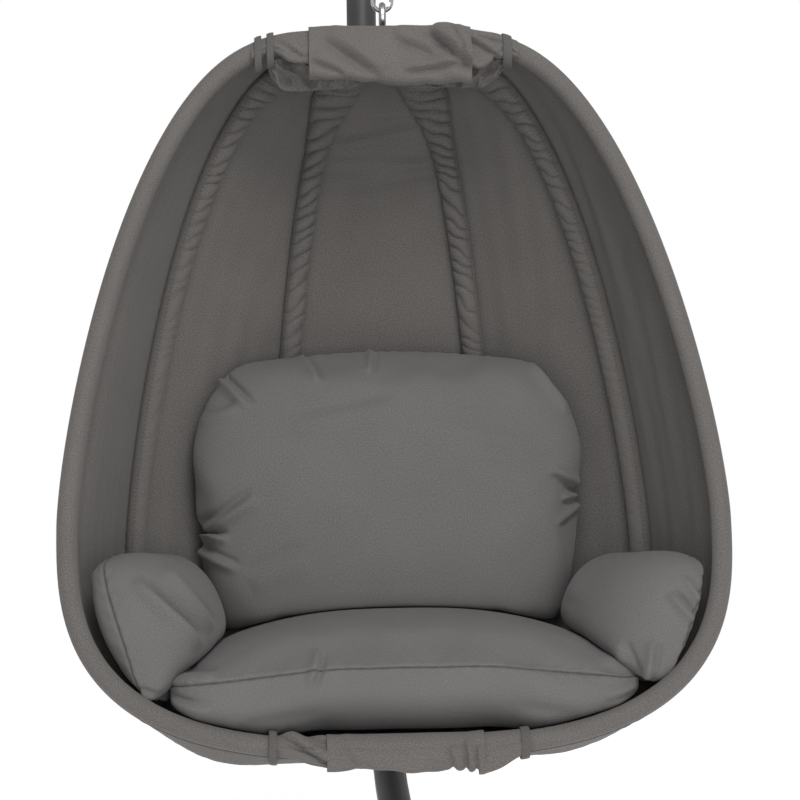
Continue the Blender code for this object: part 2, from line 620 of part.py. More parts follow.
left_side, right_side = np.array([-1.0, 1.0, 1.0]), np.array([1.0, 1.0, 1.0])
hoop_route = bar_route(0.0, 0.0, hoop_start)
side_route = bar_route(SIDE_RIB_ANGLE, POD_HUB_BACK, rib_start)
centre_route = bar_route(CENTRE_RIB_ANGLE, POD_HUB_BACK, rib_start)
routes = {
    "hoop_left": hoop_route * left_side,
    "rib_side_left": side_route * left_side,
    "rib_centre_left": centre_route * left_side,
    "rib_centre_right": centre_route * right_side,
    "rib_side_right": side_route * right_side,
    "hoop_right": hoop_route * right_side,
}

# Hoop halves and ribs, each in a cloth sleeve
paths, side_ways, cloth_pieces = {}, {}, []
for name, route in routes.items():
    path = np.array([pod_point(*place) for place in route])
    # square to the plane in which the tube leaves its hub, so that spigot and tube share their facets
    side_way = unit(np.cross(path[1] - path[0], down))
    paths[name], side_ways[name] = path, side_way
    add_solid(name, tube(path, frame_radius, FRAME_WALL, FRAME_SIDES, side_way), POWDER_COAT, chair)
    sleeve_path = path.copy()
    for end, next_in in ((0, 1), (-1, -2)):
        sleeve_path[end] += SLEEVE_SHORT * unit(path[next_in] - path[end])
    sleeve = tube(sleeve_path, sleeve_radius, SLEEVE_WALL, FRAME_SIDES, side_way)
    cloth_pieces.append(add_solid("sleeve_" + name, sleeve, CLOTH, chair))

# Hubs at the top and bottom of the pod, with a spigot for each tube
for place, u, end, next_in in (("top", 0.0, 0, 1), ("bottom", HOOP_HEIGHT, -1, -2)):
    middle = pod_point(0.0, u, POD_HUB_BACK)
    ends = [middle - POD_HUB_HEIGHT / 2 * down, middle + POD_HUB_HEIGHT / 2 * down]
    hub = add_solid(f"{place}_hub", rod(ends, pod_hub_radius, HUB_SIDES, X_AXIS), POWDER_COAT, chair)
    spigots = []
    for name, path in paths.items():
        way = unit(path[next_in] - path[end])
        root_depth = hoop_start - 2 * FRAME_WALL if name.startswith("hoop") else frame_radius
        spigot_path = [path[end] - root_depth * way, path[end] + POD_SPIGOT * way]
        spigots.append(rod(spigot_path, frame_bore - FIT, FRAME_SIDES, side_ways[name]))
    apply_tool(hub, add_tool(f"{place}_hub_spigots", joined(spigots), chair), "UNION")
    if place == "top":
        top_hub = hub

# Eye bolt of the chair, down through the top hub, with its nut underneath
shank_length = EYE_RISE + POD_HUB_HEIGHT / 2 + FIT + NUT_HEIGHT + SHANK_PAST_NUT
ring, shank = eye_bolt(chair_eye, Y_AXIS, down, shank_length)
chair_eye_bolt = add_solid("chair_eye", ring, ZINC, chair)
apply_tool(chair_eye_bolt, add_tool("chair_eye_shank", shank, chair), "UNION")
hub_hole_path = [chair_eye + eye_radius * down, chair_eye + 2 * shank_length * down]
hub_hole = add_tool("hub_hole", rod(hub_hole_path, EYE_SHANK / 2 + FIT, WIRE_SIDES, X_AXIS), chair)
apply_tool(top_hub, hub_hole, "DIFFERENCE")
nut_face = chair_eye + (EYE_RISE + POD_HUB_HEIGHT / 2 + FIT) * down
add_nut("chair_eye_nut", nut_face, down, ZINC, chair)

# Panels: five taut sheets, each sewn between two neighbouring tubes, just outside their sleeves
bar_names = list(routes)
rows = [paths[name][1:-1] for name in bar_names]
row_count = len(rows[0])
pod_middle = pod_point(0.0, WIDEST_DROP, POD_DEPTH / 3)


def panel_normal(panel, row):
    here = rows[panel]
    along = here[min(row + 1, row_count - 1)] - here[max(row - 1, 0)]
    across = rows[panel + 1][row] - here[row]
    normal = unit(np.cross(along, across))
    return normal if normal @ (here[row] + across / 2 - pod_middle) > 0 else -normal


def skin_point(bar, panel, row):
    """Where a panel's inner face starts at one of its two tubes, and the way out there."""
    outward = panel_normal(panel, row)
    other = rows[panel + 1] if bar == panel else rows[panel]
    inward = unit(other[row] - rows[bar][row])
    if bar in (0, len(rows) - 1):
        return rows[bar][row] + (sleeve_radius + CLOTH_FIT) * unit(outward + inward), outward
    shared = unit(panel_normal(bar - 1, row) + panel_normal(bar, row))
    offset = (sleeve_radius + 2 * CLOTH_FIT) / (shared @ outward)
    return rows[bar][row] + offset * shared + CLOTH_FIT * inward, shared / (shared @ outward)


panel_places = ("side_left", "back_left", "back_centre", "back_right", "side_right")
for panel, place in enumerate(panel_places):
    rings = []
    for row in range(row_count):
        start, start_out = skin_point(panel, panel, row)
        end, end_out = skin_point(panel + 1, panel, row)
        thick = PANEL_THICKNESS
        rings.append(np.array([start, end, end + thick * end_out, start + thick * start_out]))
    cloth_pieces.append(add_solid(f"panel_{place}", loft(rings), CLOTH, chair))


def add_wrap(name, u, width, section):
    """A flap of cloth swept along the top or bottom of the hoop. Its section is (d, rise) and normal pairs."""
    half_route = hoop_route if u == 0.0 else hoop_route[::-1]
    # the flap bends where the tube bends, and is straight over the hub
    aside = [x for x in half_route[: POD_ROWS // 2, 0] if x < width / 2] + [width / 2]
    reach = np.array([-x for x in reversed(aside)] + aside)
    heights = np.interp(np.abs(reach), half_route[: POD_ROWS // 2, 0], half_route[: POD_ROWS // 2, 1])
    path = np.array([pod_point(x, h, 0.0) for x, h in zip(reach, heights)])
    rings = []
    for point, direction in zip(path, directions_along(path, False)):
        rise = unit(np.cross(direction, back))
        rise = rise if rise @ down < 0 else -rise
        inner = [point + d * back + h * rise for (d, h), _ in section]
        outer = [
            point + (d + WRAP_THICKNESS * nd) * back + (h + WRAP_THICKNESS * nh) * rise
            for (d, h), (nd, nh) in section
        ]
        rings.append(np.array(inner + outer[::-1]))
    add_solid(name, loft(rings), CLOTH, chair)


wrap_radius = sleeve_radius + CLOTH_FIT
top_section = [((-wrap_radius, -TOP_WRAP_DROP), (-1.0, 0.0))]
flat_radius = wrap_radius / math.cos(WRAP_STEP / 2)
for step in range(5):
    angle = math.pi - step * WRAP_STEP
    way = (math.cos(angle), math.sin(angle))
    top_section.append(((flat_radius * way[0], flat_radius * way[1]), way))
add_wrap("top_wrap", 0.0, TOP_WRAP_WIDTH, top_section)
bottom_section = []
for step, centre_height in [(s, 0.0) for s in range(-4, 1)] + [(s, -BOTTOM_WRAP_DROP) for s in range(5)]:
    angle = math.pi + step * WRAP_STEP
    way = (math.cos(angle), math.sin(angle))
    bottom_section.append(((flat_radius * way[0], flat_radius * way[1] + centre_height), way))
add_wrap("bottom_wrap", HOOP_HEIGHT, BOTTOM_WRAP_WIDTH, bottom_section)


# Cushions: crowned pads with drawn-in sides, pressed against the ribs and against each other
hoop_bottom_z = pod_point(0.0, HOOP_HEIGHT, 0.0)[2]


class Pad:
    """A soft box with its own middle, half sizes and turn. Exponents of 1 make it round, and less squarer."""

    def __init__(self, aside, forward, rise, size, lean=0.0, turn=0.0, corner=0.45, crown=0.85,
                 underside=None, taper=0.0):
        self.middle = hook_line + np.array([aside, -forward, hoop_bottom_z + rise])
        self.half = np.array(size) / 2
        self.corner, self.crown, self.taper = corner, crown, taper
        self.underside = crown if underside is None else underside
        tip = np.array([[1, 0, 0], [0, math.cos(lean), -math.sin(lean)], [0, math.sin(lean), math.cos(lean)]])
        spin = np.array([[math.cos(turn), -math.sin(turn), 0], [math.sin(turn), math.cos(turn), 0], [0, 0, 1]])
        self.turned = spin @ tip

    def holds(self, point):
        """Whether a point is inside the pad, or within CUSHION_GAP of it."""
        x, y, z = self.turned.T @ (point - self.middle) / (self.half + CUSHION_GAP)
        crown = self.crown if z > 0 else self.underside
        x, y, z = abs(x / (1 + self.taper * z)), abs(y), abs(z)
        flat = (x ** (2 / self.corner) + y ** (2 / self.corner)) ** (self.corner / crown)
        return flat + z ** (2 / crown) < 1

    def rings(self):
        """Rows of points from the underside to the top, on the full form."""
        rows_of_points = []
        for tilt in np.linspace(-np.pi / 2, np.pi / 2, CUSHION_ROWS + 1)[1:-1]:
            row = []
            for round_angle in 2 * np.pi * np.arange(CUSHION_COLUMNS) / CUSHION_COLUMNS:
                c, s = math.cos(round_angle), math.sin(round_angle)
                drawn = 1 - SIDE_DRAW * math.cos(2 * round_angle) ** 2
                crown = self.crown if tilt > 0 else self.underside
                spread = math.cos(tilt) ** crown * drawn
                rise = math.copysign(abs(math.sin(tilt)) ** crown, tilt)
                local = np.array([
                    spread * math.copysign(abs(c) ** self.corner, c) * (1 + self.taper * rise),
                    spread * math.copysign(abs(s) ** self.corner, s),
                    rise,
                ])
                row.append(self.middle + self.turned @ (local * self.half))
            rows_of_points.append(row)
        return rows_of_points


def inside_pod(point):
    """Whether a point is clear of the sleeves, by the cross-section of the frame at its own u."""
    offset = point - hoop_top
    x, d = offset[0], offset @ back
    clear = sleeve_radius + CLOTH_FIT
    for u, margin in ((offset @ down, clear), (offset @ down + clear, 0.0)):
        corners = [
            (np.interp(u, route[1:-1, 1], route[1:-1, 0]), np.interp(u, route[1:-1, 1], route[1:-1, 2]))
            for route in routes.values()
        ]
        if u > HOOP_HEIGHT or d < 0.0:
            return False
        for (ax, ad), (bx, bd) in zip(corners[:-1], corners[1:]):
            length = math.hypot(bx - ax, bd - ad)
            depth = ((bd - ad) * (x - ax) - (bx - ax) * (d - ad)) / length
            if depth < margin:
                return False
    return True


def is_clear(point, neighbours):
    return inside_pod(point) and not any(pad.holds(point) for pad in neighbours)


def least_share(clear_at, shares=24):
    """The least share of a full move, from 0 to 1, that makes clear_at true, by halving."""
    if clear_at(0.0):
        return 0.0
    low, high = 0.0, 1.0
    for _ in range(shares):
        middle = (low + high) / 2
        low, high = (low, middle) if clear_at(middle) else (middle, high)
    return high


def mean_of_neighbours(grid):
    """The mean of the values round each one in a grid of rows and columns; the columns go all round."""
    tall = np.vstack([grid[:1], grid, grid[-1:]])
    beside = np.roll(grid, 1, axis=1) + np.roll(grid, -1, axis=1)
    return (tall[:-2] + tall[2:] + beside) / 4


def squeezed(rings, middle, neighbours):
    """Each point drawn back towards the pad's middle until it is clear of the pod and the neighbours."""
    rings = np.array(rings)
    inward = MOST_SQUEEZE * (middle - rings)
    shares = np.zeros(rings.shape[:2])
    for row, column in np.ndindex(shares.shape):
        point, way = rings[row, column], inward[row, column]
        shares[row, column] = least_share(lambda share: is_clear(point + share * way, neighbours))
    # eased so that the cover stays smooth: no point moves less than it has to
    for _ in range(EASING_ROUNDS):
        shares = np.maximum(shares, mean_of_neighbours(shares))
    return rings + shares[:, :, None] * inward


def bend_needed(rings, most):
    """How far forward each pair of facing points has to move, so that both are clear of the pod."""
    moves = np.zeros(rings.shape[:2])
    for row, column in np.ndindex(moves.shape):
        point = rings[row, column]
        moves[row, column] = most * least_share(lambda share: is_clear(point - share * most * Y_AXIS, []))
    return np.maximum(moves, moves[::-1])


seat_pad = Pad(0.0, SEAT_FORWARD, SEAT_RISE, SEAT_SIZE, crown=SEAT_CROWN, underside=SEAT_UNDERSIDE)
back_pad = Pad(0.0, BACK_FORWARD, BACK_RISE, BACK_SIZE, BACK_LEAN)
back_rings = np.array(back_pad.rings())
back_bend = bend_needed(back_rings, BACK_SIZE[2])
back_rings = back_rings - back_bend[:, :, None] * Y_AXIS
# the arm cushions stay clear of the back cushion's edges, which the bend brings forward
back_edge_pad = Pad(0.0, BACK_FORWARD + back_bend.max(), BACK_RISE, BACK_SIZE, BACK_LEAN)
arm_pads = {}
for side, sign in (("left", -1), ("right", 1)):
    arm_pads[side] = Pad(sign * ARM_ASIDE, ARM_FORWARD, ARM_RISE, ARM_SIZE, turn=-sign * ARM_TURN,
                         corner=ARM_CORNER, crown=ARM_CROWN, taper=ARM_TAPER)
soft_forms = {
    "seat_cushion": squeezed(seat_pad.rings(), seat_pad.middle, []),
    "back_cushion": squeezed(back_rings, back_pad.middle, [seat_pad]),
}
for side, pad in arm_pads.items():
    heart = pad.middle + ARM_HEART * Z_AXIS
    soft_forms[f"arm_cushion_{side}"] = squeezed(pad.rings(), heart, [seat_pad, back_edge_pad])


def surface_of(piece, lift=0.0):
    """The triangles of a chair piece, raised by lift, ready for a search."""
    piece.data.calc_loop_triangles()
    points = [vertex.co + Vector((0.0, 0.0, lift)) for vertex in piece.data.vertices]
    return BVHTree.FromPolygons(points, [tuple(face.vertices) for face in piece.data.loop_triangles])


def settle(cushion, carriers):
    """Lowers a cushion from CUSHION_LIFT above its place until it lies CLOTH_FIT above one of its carriers."""
    surfaces = [surface_of(piece) for piece in carriers]

    def rests(share):
        lowered = surface_of(cushion, CUSHION_LIFT - share * CUSHION_DROP)
        return any(lowered.overlap(surface) for surface in surfaces)

    lift = CUSHION_LIFT - least_share(rests) * CUSHION_DROP + CLOTH_FIT
    cushion.data.transform(Matrix.Translation((0.0, 0.0, lift)))


for name, rings in soft_forms.items():
    cushion = add_solid(name, loft(list(rings)), CUSHION_CLOTH, chair)
    settle(cushion, cloth_pieces)
    cloth_pieces.append(cushion)
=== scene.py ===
"""The looks of a hanging egg chair: a cloth pod with loose cushions, hung by a chain from a bent-tube stand.

Units are metres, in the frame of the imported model: +Z is up and the chair faces -Y.
"""

import math

import bpy
import numpy as np
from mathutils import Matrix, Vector
from mathutils.bvhtree import BVHTree


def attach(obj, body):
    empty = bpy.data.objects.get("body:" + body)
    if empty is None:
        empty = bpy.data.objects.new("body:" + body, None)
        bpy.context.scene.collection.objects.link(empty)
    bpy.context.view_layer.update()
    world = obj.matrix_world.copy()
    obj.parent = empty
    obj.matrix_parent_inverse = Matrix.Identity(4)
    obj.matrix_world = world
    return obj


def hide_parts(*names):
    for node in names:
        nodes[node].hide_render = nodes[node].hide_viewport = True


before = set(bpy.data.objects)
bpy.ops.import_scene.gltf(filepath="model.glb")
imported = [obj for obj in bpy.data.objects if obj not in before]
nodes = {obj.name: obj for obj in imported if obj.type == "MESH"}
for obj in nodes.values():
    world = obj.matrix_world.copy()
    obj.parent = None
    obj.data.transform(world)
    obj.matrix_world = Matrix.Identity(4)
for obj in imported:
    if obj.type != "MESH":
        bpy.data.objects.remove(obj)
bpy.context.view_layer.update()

# Studio: a level camera a little left of the chair, white surroundings, a white floor and two soft lights,
# one in front and one above. None of it belongs to the chair.
camera = bpy.data.objects.new("camera", bpy.data.cameras.new("camera"))
camera.data.lens = 96.8
camera.data.sensor_width = 36.0
camera.location = (-0.3020, -3.0702, 0.818)
camera.rotation_euler = [math.radians(angle) for angle in (90.0, 0.89, -5.65)]
bpy.context.collection.objects.link(camera)
bpy.context.scene.camera = camera
bpy.context.scene.view_settings.view_transform = "Standard"

WHITE = (1.0, 1.0, 1.0, 1.0)


def set_inputs(node, values):
    """Sets the constant inputs of a shader node."""
    for label, value in values.items():
        node.inputs[label].default_value = value


surroundings = bpy.data.worlds.new("surroundings")
surroundings.use_nodes = True
world_tree = surroundings.node_tree
seen_paper = world_tree.nodes["Background"]
set_inputs(seen_paper, {"Color": WHITE, "Strength": 1.0})
room_light = world_tree.nodes.new("ShaderNodeBackground")
set_inputs(room_light, {"Color": WHITE, "Strength": 0.50})
light_path = world_tree.nodes.new("ShaderNodeLightPath")
paper_or_room = world_tree.nodes.new("ShaderNodeMixShader")
world_tree.links.new(light_path.outputs["Is Camera Ray"], paper_or_room.inputs["Fac"])
world_tree.links.new(room_light.outputs["Background"], paper_or_room.inputs[1])
world_tree.links.new(seen_paper.outputs["Background"], paper_or_room.inputs[2])
world_tree.links.new(paper_or_room.outputs["Shader"], world_tree.nodes["World Output"].inputs["Surface"])
bpy.context.scene.world = surroundings

POD_MIDDLE = Vector((0.0, 0.1, 0.85))


def soft_light(name, place, width, watts):
    """A square soft light that faces the middle of the pod."""
    light = bpy.data.objects.new(name, bpy.data.lights.new(name, "AREA"))
    light.data.size = width
    light.data.energy = watts
    light.location = place
    light.rotation_euler = (POD_MIDDLE - Vector(place)).to_track_quat("-Z", "Y").to_euler()
    bpy.context.collection.objects.link(light)


soft_light("front_light", (0.2, -4.2, 0.65), width=1.8, watts=60.0)
soft_light("top_light", (0.3, -2.0, 3.0), width=1.4, watts=53.0)


def new_material(name):
    """A new material, its tree and its Principled shader."""
    material = bpy.data.materials.new(name)
    material.use_nodes = True
    return material, material.node_tree, material.node_tree.nodes["Principled BSDF"]


def new_piece(name, points, faces):
    """A new mesh object in the scene."""
    mesh = bpy.data.meshes.new(name)
    mesh.from_pydata(points, [], faces)
    piece = bpy.data.objects.new(name, mesh)
    bpy.context.collection.objects.link(piece)
    return piece


FLOOR_RADIUS = 2.2
FLOOR_SIDES = 96
floor_turns = [2 * math.pi * i / FLOOR_SIDES for i in range(FLOOR_SIDES)]
floor_rim = [(FLOOR_RADIUS * math.cos(a), FLOOR_RADIUS * math.sin(a), 0.0) for a in floor_turns]
floor = new_piece("floor", floor_rim, [tuple(range(FLOOR_SIDES))])
floor_paint, _, floor_shader = new_material("floor_paint")
set_inputs(floor_shader, {"Base Color": (0.88, 0.88, 0.88, 1.0), "Roughness": 0.7})
set_inputs(floor_shader, {"Emission Color": WHITE, "Emission Strength": 0.55})
floor.data.materials.append(floor_paint)

# Stand: bent steel tube in three lengths on a hub with four legs, all in a dark satin powder coat.
# The legs end in black rubber feet and a plastic plug closes the arm.
SHARP_ANGLE = math.radians(40)
WELD_GAP = 1e-5
PEBBLE_HEIGHT = 0.0004
CORNERS = ("front_right", "back_right", "back_left", "front_left")


def finish_rigid(names, material):
    """Gives rigid pieces their material, and shades them smooth but for their sharp edges."""
    for name in names:
        mesh = nodes[name].data
        if "custom_normal" in mesh.attributes:
            mesh.attributes.remove(mesh.attributes["custom_normal"])
        mesh.shade_smooth()
        nodes[name].modifiers.new("weld", "WELD").merge_threshold = WELD_GAP
        nodes[name].modifiers.new("edges", "EDGE_SPLIT").split_angle = SHARP_ANGLE
        mesh.materials.clear()
        mesh.materials.append(material)


def new_group(name, inputs, outputs):
    """An empty shader group with float inputs (name to default) and outputs, and its two end nodes."""
    group = bpy.data.node_groups.new(name, "ShaderNodeTree")
    for label, value in inputs.items():
        socket = group.interface.new_socket(label, in_out="INPUT", socket_type="NodeSocketFloat")
        socket.default_value = value
    for label in outputs:
        group.interface.new_socket(label, in_out="OUTPUT", socket_type="NodeSocketFloat")
    return group, group.nodes.new("NodeGroupInput"), group.nodes.new("NodeGroupOutput")


def noise_in(tree, scale, detail, coordinates):
    """A noise texture in a tree, read at the given coordinates; scale is a number or a socket."""
    noise = tree.nodes.new("ShaderNodeTexNoise")
    noise.inputs["Detail"].default_value = detail
    tree.links.new(coordinates, noise.inputs["Vector"])
    if isinstance(scale, (int, float)):
        noise.inputs["Scale"].default_value = scale
    else:
        tree.links.new(scale, noise.inputs["Scale"])
    return noise.outputs["Fac"]


def between(tree, value, low, high):
    """A mask or value from 0..1 spread over low..high."""
    spread = tree.nodes.new("ShaderNodeMapRange")
    set_inputs(spread, {"To Min": low, "To Max": high})
    tree.links.new(value, spread.inputs["Value"])
    return spread.outputs["Result"]


def colour_mix(tree, mask):
    """A node that mixes two colours, A and B, by a mask."""
    mix = tree.nodes.new("ShaderNodeMix")
    mix.data_type = "RGBA"
    tree.links.new(mask, mix.inputs["Factor"])
    return mix


def add_relief(tree, shader, height, strength, distance):
    """Bumps a shader's surface by a height."""
    relief = tree.nodes.new("ShaderNodeBump")
    set_inputs(relief, {"Strength": strength, "Distance": distance})
    tree.links.new(height, relief.inputs["Height"])
    tree.links.new(relief.outputs["Normal"], shader.inputs["Normal"])


# pebbled skin of a sprayed or plated surface, and the broad patches where it is duller
COAT_INPUTS = {"Pebbles": 900.0, "Patches": 14.0}
coat_skin, coat_in, coat_out = new_group("coat_skin", COAT_INPUTS, ("Height", "Dullness"))
coat_places = coat_skin.nodes.new("ShaderNodeTexCoord").outputs["Object"]
for source, detail, target in (("Pebbles", 3.0, "Height"), ("Patches", 4.0, "Dullness")):
    coat_noise = noise_in(coat_skin, coat_in.outputs[source], detail, coat_places)
    coat_skin.links.new(coat_noise, coat_out.inputs[target])


def coated(name, colours, roughness, pebbles, bump, metallic=0.0):
    """A material with the pebbled skin: two colours and two roughnesses that its patches run between."""
    material, tree, shader = new_material(name)
    shader.inputs["Metallic"].default_value = metallic
    skin = tree.nodes.new("ShaderNodeGroup")
    skin.node_tree = coat_skin
    skin.inputs["Pebbles"].default_value = pebbles
    mix = colour_mix(tree, skin.outputs["Dullness"])
    set_inputs(mix, {"A": (*colours[0], 1.0), "B": (*colours[1], 1.0)})
    tree.links.new(mix.outputs["Result"], shader.inputs["Base Color"])
    tree.links.new(between(tree, skin.outputs["Dullness"], *roughness), shader.inputs["Roughness"])
    add_relief(tree, shader, skin.outputs["Height"], bump, PEBBLE_HEIGHT)
    return material


powder_coat = coated(
    "powder_coat", ((0.040, 0.039, 0.040), (0.056, 0.055, 0.056)), (0.36, 0.52), pebbles=1100.0, bump=0.5)
rubber = coated(
    "foot_rubber", ((0.014, 0.014, 0.014), (0.024, 0.024, 0.024)), (0.68, 0.88), pebbles=500.0, bump=0.6)
plug_plastic = coated(
    "plug_plastic", ((0.030, 0.030, 0.030), (0.042, 0.042, 0.042)), (0.45, 0.6), pebbles=700.0, bump=0.4)
finish_rigid(["base_hub", "mast_lower", "mast_upper", "top_arm", *[f"leg_{c}" for c in CORNERS]], powder_coat)
finish_rigid([f"foot_{c}" for c in CORNERS], rubber)
finish_rigid(["arm_end_cap"], plug_plastic)

# Hanger: two eye bolts with nuts, a chain of seven long links, and a snap hook with a pinned gate.
# All are bent or turned from steel rod. The hook and gate are bright plated, and the rest is zinc plated like
# the bolts that hold the stand together.
ZINC_COLOURS = ((0.36, 0.36, 0.37), (0.52, 0.52, 0.53))
BRIGHT_COLOURS = ((0.66, 0.66, 0.67), (0.74, 0.74, 0.75))
zinc = coated("zinc_plate", ZINC_COLOURS, (0.28, 0.46), pebbles=420.0, bump=0.35, metallic=1.0)
bright_plate = coated("bright_plate", BRIGHT_COLOURS, (0.07, 0.16), pebbles=300.0, bump=0.1, metallic=1.0)
BOLTS = ["mast_bolt_base", "mast_bolt_low", "mast_bolt_high", *[f"leg_bolt_{c}" for c in CORNERS]]
CHAIN = [f"chain_link_{number}" for number in range(1, 8)]
finish_rigid([*BOLTS, *CHAIN, "stand_eye", "stand_eye_nut", "chair_eye", "chair_eye_nut", "gate_pin"], zinc)
finish_rigid(["snap_hook", "snap_gate"], bright_plate)

# Pod frame: a hoop in two halves and four ribs of steel tube that meet in a hub at the top and at the bottom.
# Places on the pod are x to the side, u down from the top of the hoop and d back from the hoop's plane.
HOOK_LINE = np.array([0.0, 0.16425, 0.0])
EYE_HEIGHT = 1.3964
EYE_RISE = 0.052
CHAIR_YAW = math.radians(-2.9)
HOOP_TILT = math.radians(12.0)
HOOP_WIDTH = 0.928
HOOP_HEIGHT = 1.042
WIDEST_DROP = 0.723
TOP_NARROWING = 0.380
NARROWING_POWER = 1.5
POD_DEPTH = 0.430
DEPTH_NARROWING = 0.45
TOP_ROUND = 4.97
LOWER_ROUND = 2.89
DEPTH_ROUND = 2.3
HUB_BACK = 0.040
HUB_FADE = 0.210
HUB_RIM = 0.0426
HOOP_ROOT = 0.0328
STRAIGHT_END = 0.089
FRAME_TUBE = 0.022
BAR_ANGLES = {
    "hoop_left": 0, "rib_side_left": 34, "rib_centre_left": 69,
    "rib_centre_right": 111, "rib_side_right": 146, "hoop_right": 180,
}
BAR_NAMES = tuple(BAR_ANGLES)
CURVE_POINTS = 900
LINE_POINTS = 241

down = np.array([0.0, -math.sin(HOOP_TILT), -math.cos(HOOP_TILT)])
back = np.array([0.0, math.cos(HOOP_TILT), -math.sin(HOOP_TILT)])
hoop_top = np.array([0.0, 0.0, EYE_HEIGHT]) + EYE_RISE * down - HUB_BACK * back
yaw_turn = np.array([
    [math.cos(CHAIR_YAW), -math.sin(CHAIR_YAW), 0.0],
    [math.sin(CHAIR_YAW), math.cos(CHAIR_YAW), 0.0],
    [0.0, 0.0, 1.0],
])


def unit(vectors):
    """Vectors of length 1 with the same ways."""
    return vectors / np.linalg.norm(vectors, axis=-1, keepdims=True)


def from_pod(places):
    """World points from places (x, u, d) on the pod."""
    x, u, d = np.split(np.asarray(places, float), 3, axis=-1)
    local = hoop_top + x * np.array([1.0, 0.0, 0.0]) + u * down + d * back
    return HOOK_LINE + local @ yaw_turn.T


def to_pod(points):
    """Places (x, u, d) on the pod from world points."""
    local = (np.asarray(points, float) - HOOK_LINE) @ yaw_turn - hoop_top
    return np.stack([local[..., 0], local @ down, local @ back], axis=-1)


def egg(u, widest, narrowing, lower_round):
    """Half width of an egg outline at u below its top: flat-topped and tapering above, rounder below."""
    above = np.clip((WIDEST_DROP - u) / WIDEST_DROP, 0.0, 1.0)
    below = np.clip((u - WIDEST_DROP) / (HOOP_HEIGHT - WIDEST_DROP), 0.0, 1.0)
    taper = 1 - narrowing * above**NARROWING_POWER
    upper = widest * taper * (1 - above**TOP_ROUND) ** (1 / TOP_ROUND)
    return np.where(u < WIDEST_DROP, upper, widest * (1 - below**lower_round) ** (1 / lower_round))


def evenly(points, count):
    """The path through points again, in count points of equal spacing."""
    travel = np.concatenate([[0.0], np.cumsum(np.linalg.norm(np.diff(points, axis=0), axis=1))])
    marks = np.linspace(0.0, travel[-1], count)
    return np.stack([np.interp(marks, travel, points[:, axis]) for axis in range(3)], axis=1)


def bar_line(name):
    """The middle line of one frame tube from the top hub to the bottom hub, in world points."""
    angle = math.radians(BAR_ANGLES[name])
    hub_back, start = (0.0, HOOP_ROOT) if name.startswith("hoop") else (HUB_BACK, HUB_RIM)
    u = HOOP_HEIGHT * (1 - np.cos(np.linspace(0.0, np.pi, CURVE_POINTS))) / 2
    x = -egg(u, HOOP_WIDTH / 2, TOP_NARROWING, LOWER_ROUND) * math.cos(angle)
    d = egg(u, POD_DEPTH, DEPTH_NARROWING, DEPTH_ROUND) * abs(math.sin(angle))
    reach = np.hypot(x, d)
    curve = np.stack([x, u, d + hub_back / (1 + (reach / HUB_FADE) ** 4)], axis=1)
    curve = curve[reach > STRAIGHT_END + FRAME_TUBE]
    ends = []
    for first, end_u in ((curve[0], 0.0), (curve[-1], HOOP_HEIGHT)):
        way = unit(np.array([first[0], first[2] - hub_back]))
        ends.append([(way[0] * r, end_u, hub_back + way[1] * r) for r in (start, STRAIGHT_END)])
    return evenly(from_pod(np.vstack([ends[0], curve, ends[1][::-1]])), LINE_POINTS)


bars = {name: bar_line(name) for name in BAR_NAMES}
finish_rigid(["top_hub", "bottom_hub", *BAR_NAMES], powder_coat)

# Panels: five cuts of plain woven cloth sewn edge to edge into the pod's skin, taut over the ribs.
# They are gathered a little along the rib seams and hang in soft upright waves between them.
PANEL_NAMES = ("side_left", "back_left", "back_centre", "back_right", "side_right")
PANEL_COLUMNS = 44
SLEEVE_RADIUS = 0.013
SKIN_GAP = 0.0012
CLOTH_THICKNESS = 0.0014
UPRIGHT_WAVES = {"side": 0.0017, "back": 0.0005}
SLACK_REACH = 0.05
SLACK_WIDTH = 0.12
GATHER_HEIGHT = 0.0011
GATHER_RISE = 0.006
GATHER_FADE = 0.016
SIDE_SAG = {"side_left": 0.022, "side_right": 0.012}
SAG_SHARE = 0.86
SAG_SPREAD = 0.055
SAG_RISE = 0.03
SAG_FADE = 0.16
DRAWN_HEIGHT = 0.0042
DRAWN_DROP = 0.215
DRAWN_SPREAD = 0.065
DRAWN_SLOPE = 0.10
CLOTH_RELIEF = 0.0006
# how dark the cloth gets at real stitches and at the painted shade in seams and creases, as a share of its
# dark colour
STITCH_AND_SHADE_DARKNESS = 0.30


def bell(value, middle, spread):
    """1 at the middle, fading smoothly to 0 on both sides of it."""
    return np.exp(-(((value - middle) / spread) ** 2))


def grid_faces(grid):
    """The four-cornered faces between the rows and columns of a grid of point numbers."""
    corners = (grid[:-1, :-1], grid[:-1, 1:], grid[1:, 1:], grid[1:, :-1])
    return np.stack(corners, axis=-1).reshape(-1, 4).tolist()


def cloth_mesh(name, points, closed=False):
    """A cloth piece through rows and columns of points, which remembers where each lay on the flat cut."""
    rows, columns = points.shape[:2]
    grid = np.arange(rows * columns).reshape(rows, columns)
    if closed:
        grid = np.concatenate([grid, grid[:, :1]], axis=1)
    piece = new_piece(name, points.reshape(-1, 3).tolist(), grid_faces(grid))
    piece.data.shade_smooth()
    across = np.linalg.norm(np.diff(points, axis=1), axis=2).mean(axis=0).cumsum()
    along = np.linalg.norm(np.diff(points, axis=0), axis=2).mean(axis=1).cumsum()
    cut = np.zeros((rows, columns, 3), np.float32)
    cut[:, 1:, 0] = across[None, :]
    cut[1:, :, 1] = along[:, None]
    piece.data.attributes.new("cut", "FLOAT_VECTOR", "POINT").data.foreach_set("vector", cut.ravel())
    return piece


def point_values(mesh, name, values):
    """Stores one number for each point of a mesh."""
    numbers = np.asarray(values, np.float32).ravel()
    mesh.attributes.new(name, "FLOAT", "POINT").data.foreach_set("value", numbers)


